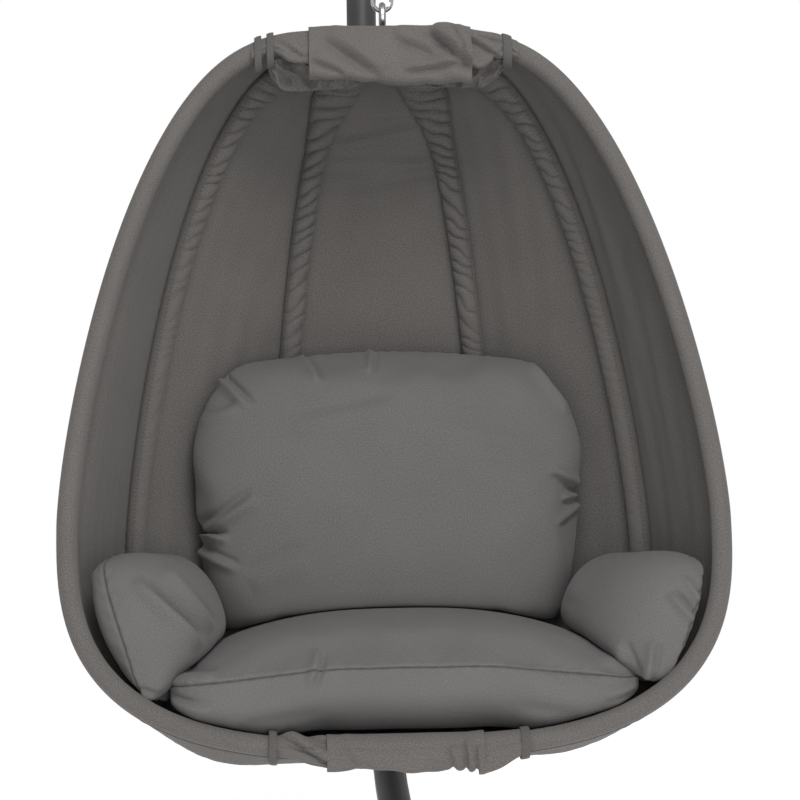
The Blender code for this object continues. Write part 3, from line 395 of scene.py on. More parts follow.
def finish_cloth(piece, material, thickness, offset=1.0):
    """Gives a cloth piece its material and thickness (outwards, or inwards with offset -1), and its body."""
    piece.data.materials.append(material)
    solid = piece.modifiers.new("thickness", "SOLIDIFY")
    solid.thickness = thickness
    solid.offset = offset
    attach(piece, "chair")


def waves(seed, count, across, along):
    """Soft random waves on cloth: a function of two lengths. The ranges are waves per metre each way."""
    draw = np.random.default_rng(seed)
    first = draw.uniform(*across, count)
    second = draw.uniform(*along, count) * draw.choice([-1.0, 1.0], count)
    phase = draw.uniform(0.0, 2 * np.pi, count)

    def height(a, b):
        total = sum(np.sin(2 * np.pi * (f * a + g * b) + p) for f, g, p in zip(first, second, phase))
        return total / math.sqrt(count)

    return height


# plain weave with flecks: threads over and under each other, uneven yarn, and broad soft patches
WEAVE_INPUTS = {"Threads": 4300.0, "Yarn": 500.0}
weave, weave_in, weave_out = new_group("plain_weave", WEAVE_INPUTS, ("Height", "Tone"))
weave_cut = weave.nodes.new("ShaderNodeAttribute")
weave_cut.attribute_name = "cut"
weave_parts = weave.nodes.new("ShaderNodeSeparateXYZ")
weave.links.new(weave_cut.outputs["Vector"], weave_parts.inputs["Vector"])


def weave_math(operation, first, second=None):
    """One Math node of the weave; each operand is a socket or a number."""
    step = weave.nodes.new("ShaderNodeMath")
    step.operation = operation
    for socket, operand in zip(step.inputs, (first, second)):
        if isinstance(operand, (int, float)):
            socket.default_value = operand
        elif operand is not None:
            weave.links.new(operand, socket)
    return step.outputs["Value"]


warp = weave_math("SINE", weave_math("MULTIPLY", weave_parts.outputs["X"], weave_in.outputs["Threads"]))
weft = weave_math("SINE", weave_math("MULTIPLY", weave_parts.outputs["Y"], weave_in.outputs["Threads"]))
weave_cross = weave_math("MULTIPLY", warp, weft)
yarn = noise_in(weave, weave_in.outputs["Yarn"], 5.0, weave_cut.outputs["Vector"])
broad = noise_in(weave, 9.0, 3.0, weave_cut.outputs["Vector"])
weave.links.new(weave_math("ADD", weave_math("MULTIPLY", weave_cross, 0.5), yarn), weave_out.inputs["Height"])
fleck = between(weave, yarn, -1.2, 2.2)
tone = weave_math("ADD", weave_math("MULTIPLY", fleck, 0.65), weave_math("MULTIPLY", broad, 0.35))
weave.links.new(weave_math("ADD", tone, weave_math("MULTIPLY", weave_cross, 0.06)), weave_out.inputs["Tone"])


def woven(name, dark, light, bump):
    """A woven cloth that runs between two colours, with a faint sheen, darker stitches, and painted shade in
    its seams and creases.
    """
    material, tree, shader = new_material(name)
    set_inputs(shader, {"Sheen Weight": 0.12, "Sheen Roughness": 0.5, "Specular IOR Level": 0.25})
    threads = tree.nodes.new("ShaderNodeGroup")
    threads.node_tree = weave
    plain = colour_mix(tree, threads.outputs["Tone"])
    set_inputs(plain, {"A": (*dark, 1.0), "B": (*light, 1.0)})
    # a point value darkens the colour: real stitches, and painted shade in cushion seams and sleeve pucker
    # valleys
    stitch_and_shade = tree.nodes.new("ShaderNodeAttribute")
    stitch_and_shade.attribute_name = "stitch_and_shade"
    stitched_and_shaded = colour_mix(tree, stitch_and_shade.outputs["Fac"])
    stitched_and_shaded.inputs["B"].default_value = (*[STITCH_AND_SHADE_DARKNESS * value for value in dark], 1.0)
    tree.links.new(plain.outputs["Result"], stitched_and_shaded.inputs["A"])
    tree.links.new(stitched_and_shaded.outputs["Result"], shader.inputs["Base Color"])
    tree.links.new(between(tree, threads.outputs["Tone"], 0.92, 0.72), shader.inputs["Roughness"])
    add_relief(tree, shader, threads.outputs["Height"], bump, CLOTH_RELIEF)
    return material


pod_cloth = woven("pod_cloth", (0.070, 0.065, 0.062), (0.150, 0.140, 0.133), bump=0.35)

shares = np.linspace(0.0, 1.0, PANEL_COLUMNS + 1)
spread = shares[None, :, None]
skin = []
for first, second in zip(BAR_NAMES[:-1], BAR_NAMES[1:]):
    strip = bars[first][:, None, :] * (1 - spread) + bars[second][:, None, :] * spread
    skin.append(strip[:, 1:] if skin else strip)
skin = np.concatenate(skin, axis=1)
skin_out = unit(np.cross(np.gradient(skin, axis=1), np.gradient(skin, axis=0)))
if ((skin - skin.mean(axis=(0, 1))) * skin_out).sum() < 0:
    skin_out = -skin_out
pod_skin = skin + (SLEEVE_RADIUS + SKIN_GAP) * skin_out
row_length = np.linalg.norm(np.diff(skin, axis=0), axis=2).mean()
for number, place in enumerate(PANEL_NAMES):
    columns = slice(number * PANEL_COLUMNS, (number + 1) * PANEL_COLUMNS + 1)
    points = pod_skin[:, columns]
    widths = np.linalg.norm(points[:, -1] - points[:, 0], axis=1)
    across = shares[None, :] * widths[:, None]
    along = np.broadcast_to(row_length * np.arange(LINE_POINTS)[:, None], across.shape)
    inset = np.minimum(across, widths[:, None] - across)
    slack = np.clip(inset / SLACK_REACH, 0.0, 1.0) ** 1.5 * np.clip(widths[:, None] / SLACK_WIDTH, 0.2, 1.0)
    upright = waves(40 + number, 9, (10.0, 26.0), (0.3, 1.6))(across, along)
    gathers = waves(60 + number, 7, (4.0, 12.0), (45.0, 75.0))(across, along)
    near_seam = np.clip(inset / GATHER_RISE, 0.0, 1.0) * np.exp(-inset / GATHER_FADE)
    height = UPRIGHT_WAVES[place.split("_")[0]] * slack * upright + GATHER_HEIGHT * near_seam * gathers
    if place in SIDE_SAG:
        from_hoop = across if place == "side_left" else widths[:, None] - across
        sag = SIDE_SAG[place] * bell(along / along[-1], SAG_SHARE, SAG_SPREAD)
        height += sag * np.clip(from_hoop / SAG_RISE, 0.0, 1.0) * np.exp(-from_hoop / SAG_FADE)
    if place == "back_centre":
        level = along + DRAWN_SLOPE * across
        drawn = bell(along, DRAWN_DROP, DRAWN_SPREAD)
        height += DRAWN_HEIGHT * slack * drawn * waves(71, 7, (0.5, 4.0), (18.0, 38.0))(across, level)
    points = points + height[:, :, None] * skin_out[:, columns]
    panel = cloth_mesh("panel_cloth_" + place, points)
    finish_cloth(panel, pod_cloth, CLOTH_THICKNESS)
    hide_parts("panel_" + place)

# Sleeves: a tube of the same cloth over each rib and each half of the hoop, sewn to the skin behind it.
# On the ribs it is longer than the tube, so it gathers in short cross puckers that are strongest at the top.
SLEEVE_COLUMNS = 32
SLEEVE_THICKNESS = 0.0008
HOOP_ROWS = 600
HOOP_EASE = 0.0006
HOOP_PUCKER = 0.00045
HOOP_PUCKER_STEP = 0.030
RIB_ROWS = 1000
RIB_HALF_WIDTH = 0.016
RIB_EASE = 0.0012
RIB_PUCKER = 0.0007
RIB_PUCKER_STEP = 0.0265
TOP_FLARE = 0.018
TOP_PUCKER = 0.0125
FOOT_PUCKER = 0.0016
SIDE_RIB_FULLNESS = 0.6
PUCKER_LEAN = 0.55
PUCKER_DRAWS = 110
STITCH_STEP = 0.0065


def sleeve_frame(name, rows):
    """The line of a tube in rows points, and the ways out of the pod and across the sleeve at each."""
    column = BAR_NAMES.index(name) * PANEL_COLUMNS
    line = evenly(bars[name], rows)
    share = np.linspace(0.0, 1.0, rows)
    known = np.linspace(0.0, 1.0, LINE_POINTS)
    out = np.stack([np.interp(share, known, skin_out[:, column, axis]) for axis in range(3)], axis=1)
    along = unit(np.gradient(line, axis=0))
    out = unit(out - (out * along).sum(axis=1, keepdims=True) * along)
    return line, out, np.cross(along, out)


def pucker_phase(seed, length, rows, spacing):
    """How many puckers have passed at each point of a sleeve; their spacing wanders about its mean."""
    draw = np.random.default_rng(seed)
    steps = draw.uniform(0.35, 2.1, PUCKER_DRAWS)
    wander = np.interp(np.linspace(0.0, PUCKER_DRAWS - 1.0, rows), np.arange(PUCKER_DRAWS), steps)
    return np.cumsum(length / rows / spacing * wander)[:, None]


sleeve_turn = 2 * np.pi * np.arange(SLEEVE_COLUMNS) / SLEEVE_COLUMNS
side = np.cos(sleeve_turn)[None, :]
inside = -np.sin(sleeve_turn)[None, :]
face = np.clip(0.35 + inside, 0.0, 1.0)
for number, name in enumerate(BAR_NAMES):
    is_hoop = name.startswith("hoop")
    hand = 1.0 if name.endswith("left") else -1.0
    rows = HOOP_ROWS if is_hoop else RIB_ROWS
    line, out, across = sleeve_frame(name, rows)
    length = float(np.linalg.norm(np.diff(line, axis=0), axis=1).sum())
    share = np.linspace(0.0, 1.0, rows)[:, None]
    if is_hoop:
        half_width = half_depth = np.full((rows, 1), SLEEVE_RADIUS + HOOP_EASE)
        strength = np.full((rows, 1), HOOP_PUCKER)
        phase = pucker_phase(80 + number, length, rows, HOOP_PUCKER_STEP)
    else:
        fullness = 1.0 if "centre" in name else SIDE_RIB_FULLNESS
        half_width = RIB_HALF_WIDTH + TOP_FLARE * fullness * bell(share, 0.075, 0.05)
        half_depth = np.full((rows, 1), SLEEVE_RADIUS + RIB_EASE)
        near_top = np.exp(-((share / 0.30) ** 2.4))
        strength = RIB_PUCKER + TOP_PUCKER * fullness * near_top + FOOT_PUCKER * bell(share, 0.98, 0.1)
        phase = pucker_phase(80 + number, length, rows, RIB_PUCKER_STEP)
    lean = hand * PUCKER_LEAN * side + 0.09 * np.sin(2.4 * side + 2.3 * phase)
    crest = np.abs(np.sin(np.pi * (phase + lean)))
    swell = strength * (crest**0.40 - 0.75) * face
    points = (
        line[:, None, :]
        + ((half_width + 0.6 * swell) * side)[:, :, None] * across[:, None, :]
        - ((half_depth + swell) * inside)[:, :, None] * out[:, None, :]
    )
    sleeve = cloth_mesh("sleeve_cloth_" + name, points, closed=True)
    # On the ribs the stored values hold a dashed stitch line along one edge and painted shade in the valleys
    # between puckers, deeper where they are stronger; hoop sleeves get neither.
    dashes = np.clip(2.5 * np.sin(2 * np.pi * length * share / STITCH_STEP) + 1.0, 0.0, 1.0)
    edge = bell(-hand * side, 0.90, 0.05) * np.clip(4 * inside, 0.0, 1.0)
    crease_shade = np.clip(1 - 2.2 * crest, 0.0, 1.0) * np.clip(80 * strength, 0.0, 0.55) * face
    marks = np.zeros_like(crease_shade) if is_hoop else np.maximum(crease_shade, 0.45 * edge * dashes)
    point_values(sleeve.data, "stitch_and_shade", marks)
    finish_cloth(sleeve, pod_cloth, SLEEVE_THICKNESS, offset=-1.0)
    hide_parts("sleeve_" + name)

# Top wrap: flaps of the pod's cloth that close round the hoop where its halves meet. The wide flap is folded
# over the tube, hangs down in front in loose folds and is tucked under. A band bound with narrow tapes shows
# at each side of it, and crumpled cloth is gathered behind.
TUBE_GAP = 0.0008
WRAP_RADIUS = SLEEVE_RADIUS + HOOP_EASE + CLOTH_THICKNESS + TUBE_GAP
FLAP_COLUMNS = 190
TURN_ROWS = 40
FALL_ROWS = 44
TUCK_ROWS = 26
FLAP_START = 0.12 * math.pi
FALL_BELLY = 0.0025
CRUMPLE_LENGTH = 0.13
GATHER_COLUMNS = 260
GATHER_ROWS = 46
TAPE_SIDES = 40
TAPE_ROWS = 9
TAPE_LIFT = 0.0036
TAPE_THICKNESS = 0.0011
HOOP_END_POINTS = LINE_POINTS // 3
tape_cloth = woven("tape_cloth", (0.070, 0.066, 0.063), (0.105, 0.099, 0.095), bump=0.5)
half_hoop = to_pod(bars["hoop_right"])
toward_viewer = from_pod([0.0, 0.0, -1.0]) - from_pod([0.0, 0.0, 0.0])


def hoop_u(x, at_top):
    """How far down the middle of the hoop's tube is at x, along its top or its bottom."""
    part = half_hoop[:HOOP_END_POINTS] if at_top else half_hoop[::-1][:HOOP_END_POINTS]
    return np.interp(np.abs(x), part[:, 0], part[:, 1])


def fold(x, u, start, end, width, depth):
    """A fold along a line from start to end: sunk along the line, raised in a soft roll on one side of it."""
    start, end = np.array(start), np.array(end)
    span = end - start
    length = np.linalg.norm(span)
    along = ((x - start[0]) * span[0] + (u - start[1]) * span[1]) / length**2
    aside = ((x - start[0]) * span[1] - (u - start[1]) * span[0]) / length / width
    taper = np.clip(1 - (2 * np.clip(along, -0.3, 1.3) - 1) ** 4, 0.0, 1.0)
    return depth * taper * (np.exp(-((aside - 1.6) ** 2) / 2) - np.exp(-(aside**2) / 0.5))


def draped(name, points):
    """A finished flap or gather: a cloth piece that hangs on the hoop."""
    piece = cloth_mesh(name, points)
    finish_cloth(piece, pod_cloth, CLOTH_THICKNESS)
    return piece


def cloth_ways(points):
    """The way off the cloth at each point of a grid, on the side that faces the viewer."""
    out = unit(np.cross(np.gradient(points, axis=1), np.gradient(points, axis=0)))
    return -out if (out @ toward_viewer).sum() < 0 else out


def flap(name, reach, at_top, radius, drop, tuck, folds, seed, crumple):
    """A flap from x reach[0] to reach[1]: round the tube, down its front and tucked under.

    drop, its whole fall, is a function of x, and radius can be one. crumple is how high its small waves are.
    """
    x = np.linspace(*reach, FLAP_COLUMNS)
    middle_u = hoop_u(x, at_top)
    around = radius(x) if callable(radius) else np.full_like(x, radius)
    fall = drop(x) - tuck
    rows = []
    for angle in np.linspace(FLAP_START, math.pi, TURN_ROWS):
        rows.append((-around * math.sin(angle), around * math.cos(angle)))
    for share in np.linspace(0.0, 1.0, FALL_ROWS)[1:]:
        rows.append((share * fall, -around - FALL_BELLY * math.sin(math.pi * share)))
    for angle in np.linspace(0.0, 0.9 * math.pi, TUCK_ROWS)[1:]:
        rows.append((fall + tuck * math.sin(angle), tuck - around - tuck * math.cos(angle)))
    places = np.array([np.stack([x, middle_u + u, d], axis=1) for u, d in rows])
    points = from_pod(places)
    height = np.zeros(places.shape[:2])
    for start, end, width, depth in folds:
        height += fold(places[:, :, 0], places[:, :, 1], start, end, width, depth)
    smooth_rows = 0.3 * TURN_ROWS
    height *= np.clip((np.arange(len(rows)) - smooth_rows) / smooth_rows, 0.0, 1.0)[:, None]
    loose = np.clip(np.linspace(-0.4, 1.4, len(rows)), 0.15, 1.0)[:, None]
    lengths = np.broadcast_to(np.linspace(0.0, CRUMPLE_LENGTH, len(rows))[:, None], height.shape)
    height += crumple * loose * waves(seed, 11, (6.0, 26.0), (6.0, 30.0))(places[:, :, 0], lengths)
    points = points + height[:, :, None] * cloth_ways(points)
    return draped(name, points)


def gather(name, reach, start, end, seed, height):
    """A crumpled strip of cloth behind the top of the hoop, from start to end as (u, d) from its tube."""
    x, share = np.meshgrid(np.linspace(*reach, GATHER_COLUMNS), np.linspace(0.0, 1.0, GATHER_ROWS))
    narrow = 1 - 0.8 * np.abs(2 * (x - reach[0]) / (reach[1] - reach[0]) - 1) ** 6
    u = hoop_u(x, True) + start[0] + (end[0] - start[0]) * share * narrow
    d = start[1] + (end[1] - start[1]) * share * narrow
    points = from_pod(np.stack([x, u, d], axis=2))
    length = math.hypot(end[0] - start[0], end[1] - start[1])
    large = waves(seed, 7, (9.0, 22.0), (5.0, 18.0))(x, share * length)
    fine = waves(seed + 1, 9, (22.0, 55.0), (14.0, 40.0))(x, share * length)
    crush = height * (0.7 - np.abs(large)) + 0.35 * height * (0.6 - np.abs(fine))
    draped(name, points + crush[:, :, None] * cloth_ways(points))


def tape(name, x, at_top, width, sag):
    """A narrow binding tape drawn round the tube at x and the band under it."""
    radius = WRAP_RADIUS + TAPE_LIFT
    turn = 2 * np.pi * np.arange(TAPE_SIDES) / TAPE_SIDES
    rows = []
    for share in np.linspace(-0.5, 0.5, TAPE_ROWS):
        place = x + share * width
        wide = radius * (1.04 - 0.16 * share**2) * (1 + 0.05 * np.sin(2 * turn + 40 * place))
        u = hoop_u(place, at_top) - wide * np.sin(turn) + sag * np.maximum(0.0, -np.sin(turn))
        rows.append(np.stack([np.full(TAPE_SIDES, place), u, wide * np.cos(turn)], axis=1))
    piece = cloth_mesh(name, from_pod(np.array(rows)), closed=True)
    finish_cloth(piece, tape_cloth, TAPE_THICKNESS)


# each fold: where it starts and ends, as (x, u), its width and its depth
TOP_WRAP_FOLDS = (
    ((-0.096, 0.004), (-0.006, 0.068), 0.0105, 0.0085), ((0.008, 0.004), (0.072, 0.034), 0.0085, 0.0065),
    ((0.06, -0.004), (0.132, 0.058), 0.009, 0.014), ((0.098, -0.016), (0.114, 0.034), 0.006, 0.0055),
    ((0.024, 0.06), (0.122, 0.048), 0.0055, 0.006), ((-0.112, 0.04), (-0.06, 0.062), 0.006, 0.005),
)
TOP_LEFT_FOLDS = (((-0.160, 0.006), (-0.118, 0.036), 0.005, 0.0035),)
TOP_RIGHT_FOLDS = (
    ((0.112, 0.000), (0.172, 0.04), 0.0055, 0.0065), ((0.132, 0.002), (0.178, 0.014), 0.004, 0.003),
)
TOP_TAPES = (("left", -0.187, 0.010), ("left", -0.169, 0.010), ("right", 0.182, 0.013))
top_flap = flap(
    "top_wrap_cloth", (-0.112, 0.128), at_top=True,
    radius=lambda x: WRAP_RADIUS + 0.0052 + 0.0045 * bell(x, 0.096, 0.016),
    drop=lambda x: 0.069 + 0.004 * np.sin(24 * x + 0.6) + 0.02 * x,
    tuck=0.013, folds=TOP_WRAP_FOLDS, seed=11, crumple=0.0015)
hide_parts("top_wrap")
flap("top_band_left", (-0.197, -0.106), at_top=True, radius=WRAP_RADIUS,
     drop=lambda x: 0.014 + 0.024 / (1 + np.exp((-0.150 - x) / 0.006)),
     tuck=0.006, folds=TOP_LEFT_FOLDS, seed=12, crumple=0.0010)
flap("top_band_right", (0.090, 0.198), at_top=True, radius=WRAP_RADIUS + 0.0012,
     drop=lambda x: 0.014 + 0.031 / (1 + np.exp((x - 0.163) / 0.006)),
     tuck=0.006, folds=TOP_RIGHT_FOLDS, seed=13, crumple=0.0016)
gather("top_gather_left", (-0.172, -0.020), (0.020, 0.004), (0.066, 0.030), 31, 0.0075)
gather("top_gather_right", (-0.030, 0.178), (0.020, 0.004), (0.064, 0.030), 35, 0.0075)
for number, (place, x, width) in enumerate(TOP_TAPES, 1):
    tape(f"top_tape_{number}", x, at_top=True, width=width, sag=0.010)

# Bottom wrap: flaps of the same cloth that close round the hoop where its halves meet below.
# The wide flap falls only a little way below the tube, and a tape binds the band at each side of it.
BOTTOM_WRAP_FOLDS = (
    ((0.06, 1.04), (0.074, 1.084), 0.005, 0.0038), ((0.084, 1.03), (0.09, 1.084), 0.004, 0.0042),
    ((0.1, 1.04), (0.104, 1.084), 0.003, 0.003), ((-0.094, 1.026), (-0.06, 1.072), 0.008, 0.003),
)
BOTTOM_LEFT_FOLDS = (
    ((-0.176, 1.018), (-0.098, 1.064), 0.005, 0.0085), ((-0.14, 1.018), (-0.1, 1.032), 0.004, 0.005),
)
BOTTOM_TAPES = (("left", -0.178, 0.010), ("right", 0.171, 0.012))
bottom_flap = flap(
    "bottom_wrap_cloth", (-0.104, 0.114), at_top=False, radius=WRAP_RADIUS + 0.0055,
    drop=lambda x: 0.031 + 0.002 * np.sin(46 * x + 0.8) + 0.02 * x,
    tuck=0.012, folds=BOTTOM_WRAP_FOLDS, seed=21, crumple=0.0009)
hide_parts("bottom_wrap")
flap("bottom_band_left", (-0.184, -0.096), at_top=False,
     radius=lambda x: WRAP_RADIUS + 0.002 * np.sin(35 * x),
     drop=lambda x: 0.013 + 0.20 * np.clip(x + 0.17, 0.0, 0.1),
     tuck=0.006, folds=BOTTOM_LEFT_FOLDS, seed=22, crumple=0.0012)
flap("bottom_band_right", (0.106, 0.178), at_top=False, radius=WRAP_RADIUS + 0.0022,
     drop=lambda x: 0.041 - 0.38 * np.clip(x - 0.112, 0.0, 0.1),
     tuck=0.009, folds=(), seed=23, crumple=0.0009)
for number, (place, x, width) in enumerate(BOTTOM_TAPES, 1):
    tape(f"bottom_tape_{number}", x, at_top=False, width=width, sag=0.004)

# Seat cushion: a loose cover of woven cloth, two cuts sewn together round the edge and stuffed with fibre.
# It lies in the bottom of the pod, thick and square in front, and its seam runs along the front edge.
COVER_CELL = 0.008
SEAM_ALLOWANCE = 0.006
SEAM_ROW = 0.0022
PROFILE_POINTS = 3000
STUFFING_FRAMES = 20
STUFFING = {
    "quality": 6, "mass": 0.2, "tension_stiffness": 25.0, "compression_stiffness": 12.0,
    "shear_stiffness": 8.0, "bending_stiffness": 0.6, "air_damping": 2.0,
    "use_pressure": True, "uniform_pressure_force": 3.0,
}
MOST_SWELL = 0.026
SWELL_KEPT = 0.4
SWELL_PASSES = 9
SEAM_REACH = 0.014
SEAM_DRAW = -0.030
SLEEVE_CLEARANCE = 0.0148
CUSHION_GAP = 0.0015
CUSHION_SEARCH = 0.2
HALVINGS = 9
PRESS_PASSES = 5
SEAM_ROLL = 0.0008
SEAM_DEPTH = 0.0022
# how dark the painted shade along each cushion's seam groove is
SEAM_PAINTED_SHADE = 0.70
SEAM_PUCKER = 0.0007
PUCKER_FADE = 0.016
PUCKER_STEPS = (0.021, 0.034)
SEAT_HALF = (0.338, 0.216)
SEAT_MIDDLE = np.array([0.007, 0.114, 0.448])
# each fold of a cushion: where it starts and ends, as (x, z), its width and its depth
SEAT_FOLDS = (
    ((-0.116, 0.468), (-0.132, 0.42), 0.005, 0.008), ((-0.335, 0.438), (-0.265, 0.448), 0.005, 0.008),
    ((-0.33, 0.412), (-0.275, 0.4), 0.005, 0.007), ((0.328, 0.425), (0.265, 0.44), 0.005, 0.007),
    ((0.322, 0.405), (0.27, 0.392), 0.005, 0.006), ((0.12, 0.455), (0.27, 0.43), 0.014, 0.004),
    ((-0.24, 0.37), (-0.12, 0.385), 0.012, 0.003), ((0.15, 0.39), (0.24, 0.375), 0.01, 0.003),
)
cushion_cloth = woven("cushion_cloth", (0.092, 0.088, 0.086), (0.151, 0.144, 0.141), bump=0.35)


def sewn_cover(half_width, half_depth):
    """A cover of two square sheets that share their edge: places (a, b) from -1 to 1, side and faces."""
    marks = []
    for half in (half_width, half_depth):
        allowance = 1 - SEAM_ALLOWANCE / half
        seam_row = 1 - SEAM_ROW / half
        inner = np.linspace(-allowance, allowance, 2 * round(half / COVER_CELL) - 1)
        marks.append(np.concatenate([[-1, -seam_row], inner, [seam_row, 1]]))
    a, b = np.meshgrid(*marks)
    top = np.arange(a.size).reshape(a.shape)
    under = top.copy()
    inner = under[1:-1, 1:-1]
    inner[:] = top.size + np.arange(inner.size).reshape(inner.shape)
    faces = grid_faces(top) + [face[::-1] for face in grid_faces(under)]
    a, b = (np.concatenate([grid.ravel(), grid[1:-1, 1:-1].ravel()]) for grid in (a, b))
    side = np.concatenate([np.ones(top.size), -np.ones(a.size - top.size)])
    return a, b, side, faces


def pillow(a, b, side, half, upper, lower, corner):
    """Points of a plump cushion, how far along the cloth each is from the seam, and its place on the cut.

    upper and lower are (height, fullness, roundness) of its faces. corner is its squareness seen from above.
    """
    far = np.maximum(np.abs(a), np.abs(b))
    norm = np.maximum((np.abs(a) ** corner + np.abs(b) ** corner) ** (1 / corner), 1e-9)
    reach, rise, path = np.zeros_like(far), np.zeros_like(far), np.zeros_like(far)
    radius = 1 - np.linspace(1.0, 0.0, PROFILE_POINTS) ** 3
    for way, (height, fullness, roundness) in ((1, upper), (-1, lower)):
        z = way * height * np.clip(1 - radius**fullness, 0.0, 1.0) ** roundness
        travel = np.concatenate([[0.0], np.cumsum(np.hypot(np.diff(radius) * min(half), np.diff(z)))])
        here = side == way
        path[here] = travel[-1]
        reach[here] = np.interp(far[here] * travel[-1], travel, radius)
        rise[here] = np.interp(far[here] * travel[-1], travel, z)
    points = np.stack([a / norm * reach * half[0], b / norm * reach * half[1], rise], axis=1)
    cut = np.stack([a * half[0], b * half[1]], axis=1) * (path / min(half))[:, None]
    return points, (1 - far) * path, cut


def round_about(values, faces):
    """For each point of a cover, the mean of its neighbours' values."""
    edges = np.array([(face[i], face[(i + 1) % 4]) for face in faces for i in range(4)])
    total, count = np.zeros_like(values), np.zeros((len(values), 1))
    np.add.at(total, edges[:, 0], values[edges[:, 1]])
    np.add.at(count, edges[:, 0], 1.0)
    return total / count


def plumped(points, faces, from_seam, growth):
    """The cover after stuffing: its cloth is a little too large for its seam and is blown out from inside."""
    cover = new_piece("cover", points.tolist(), faces)
    drawn = cover.vertex_groups.new(name="drawn")
    for index, weight in enumerate(bell(from_seam, 0.0, SEAM_REACH)):
        drawn.add([index], float(weight), "REPLACE")
    cloth = cover.modifiers.new("stuffing", "CLOTH")
    for label, value in STUFFING.items():
        setattr(cloth.settings, label, value)
    cloth.settings.vertex_group_shrink = "drawn"
    cloth.settings.shrink_max = SEAM_DRAW
    cloth.settings.shrink_min = -growth
    cloth.settings.effector_weights.gravity = 0.0
    cloth.point_cache.frame_end = STUFFING_FRAMES
    for number in range(1, STUFFING_FRAMES + 1):
        bpy.context.scene.frame_set(number)
    result = cover.evaluated_get(bpy.context.evaluated_depsgraph_get()).data
    moved = np.array([vertex.co for vertex in result.vertices]) - points
    bpy.data.objects.remove(cover, do_unlink=True)
    bpy.context.scene.frame_set(1)
    far = np.linalg.norm(moved, axis=1, keepdims=True)
    moved = moved * np.minimum(1.0, MOST_SWELL / np.maximum(far, 1e-9))
    for _ in range(SWELL_PASSES):
        moved = SWELL_KEPT * moved + (1 - SWELL_KEPT) * round_about(moved, faces)
    swollen = points + moved
    return swollen * np.ptp(points, axis=0) / np.ptp(swollen, axis=0)


bar_places = [to_pod(bars[name]) for name in BAR_NAMES]


def within_pod(points, front):
    """Which points are well inside the frame, and at most front before the hoop's plane."""
    x, u, d = to_pod(points).T
    inside = (u < HOOP_HEIGHT) & (d > -front)
    for level, least in ((u, SLEEVE_CLEARANCE), (u + SLEEVE_CLEARANCE, 0.0)):
        corners = []
        for bar in bar_places:
            corners.append([np.interp(level, bar[:, 1], bar[:, axis]) for axis in (0, 2)])
        for (ax, ad), (bx, bd) in zip(corners[:-1], corners[1:]):
            length = np.hypot(bx - ax, bd - ad)
            depth = ((bd - ad) * (x - ax) - (bx - ax) * (d - ad)) / np.maximum(length, 1e-6)
            inside &= depth > least
    return inside


def outside_of(points, others):
    """Which points are clear of every finished cushion."""
    free = np.ones(len(points), bool)
    for tree in others:
        for i, point in enumerate(points):
            if free[i]:
                near, normal, _, _ = tree.find_nearest(point, CUSHION_SEARCH)
                if near is not None:
                    free[i] = (Vector(point) - near).dot(normal) > CUSHION_GAP
    return free


def pressed_in(points, faces, heart, others, front):
    """Each point drawn towards heart until it is in the pod and clear of the other cushions, then eased."""
    ways = heart - points
    low, high = np.zeros(len(points)), np.ones(len(points))
    blocked = ~(within_pod(points, front) & outside_of(points, others))
    high[~blocked] = 0.0
    for _ in range(HALVINGS):
        middle = (low + high) / 2
        trial = points[blocked] + middle[blocked, None] * ways[blocked]
        clear = within_pod(trial, front) & outside_of(trial, others)
        high[blocked] = np.where(clear, middle[blocked], high[blocked])
        low[blocked] = np.where(clear, low[blocked], middle[blocked])
    for _ in range(PRESS_PASSES):
        high = np.maximum(high, round_about(high[:, None], faces)[:, 0])
    return points + high[:, None] * ways


def read_values(mesh, name, kind, width):
    """One number or vector for each point of a mesh."""
    values = np.zeros(len(mesh.vertices) * width, np.float32)
    mesh.attributes[name].data.foreach_get(kind, values)
    return values.reshape(-1, width).astype(float)


def add_cushion(name, points, faces, cut, from_seam, folds):
    """The finished cushion: its mesh refined once, its seam drawn in and darkened with painted shade, its
    folds pressed in from the front.
    """
    piece = new_piece(name, points.tolist(), faces)
    flat = np.zeros((len(points), 3), np.float32)
    flat[:, :2] = cut
    piece.data.attributes.new("cut", "FLOAT_VECTOR", "POINT").data.foreach_set("vector", flat.ravel())
    point_values(piece.data, "from_seam", from_seam)
    refine = piece.modifiers.new("refine", "SUBSURF")
    refine.levels = refine.render_levels = 1
    fine = bpy.data.meshes.new_from_object(piece.evaluated_get(bpy.context.evaluated_depsgraph_get()))
    piece.modifiers.clear()
    piece.data = fine
    fine.name = name
    fine.shade_smooth()
    places = read_values(fine, "position", "vector", 3)
    normals = np.array([vertex.normal for vertex in fine.vertices])
    seam = read_values(fine, "from_seam", "value", 1)[:, 0]
    flat = read_values(fine, "cut", "vector", 3)
    one_way = 2 * np.pi * (flat[:, 0] + flat[:, 1])
    other_way = 2 * np.pi * (flat[:, 0] - flat[:, 1])
    puckers = np.sin(one_way / PUCKER_STEPS[0]) + np.sin(other_way / PUCKER_STEPS[1])
    height = SEAM_ROLL * bell(seam, 0.0050, 0.0035) - SEAM_DEPTH * bell(seam, 0.0, 0.0013)
    height += SEAM_PUCKER * puckers * np.exp(-seam / PUCKER_FADE)
    # painted shade: the colour is darkened in a thin line along the seam groove
    point_values(fine, "stitch_and_shade", SEAM_PAINTED_SHADE * bell(seam, 0.0, 0.0012))
    facing = np.clip(normals @ toward_viewer * 2.5, 0.0, 1.0)
    for start, end, width, depth in folds:
        height += facing * fold(places[:, 0], places[:, 2], start, end, width, depth)
    fine.vertices.foreach_set("co", (places + height[:, None] * normals).ravel())
    fine.materials.append(cushion_cloth)
    smooth = piece.modifiers.new("smooth", "SUBSURF")
    smooth.levels = smooth.render_levels = 1
    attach(piece, "chair")
    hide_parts(name.replace("_pad", "_cushion"))
    return BVHTree.FromPolygons([Vector(p) for p in points], faces)


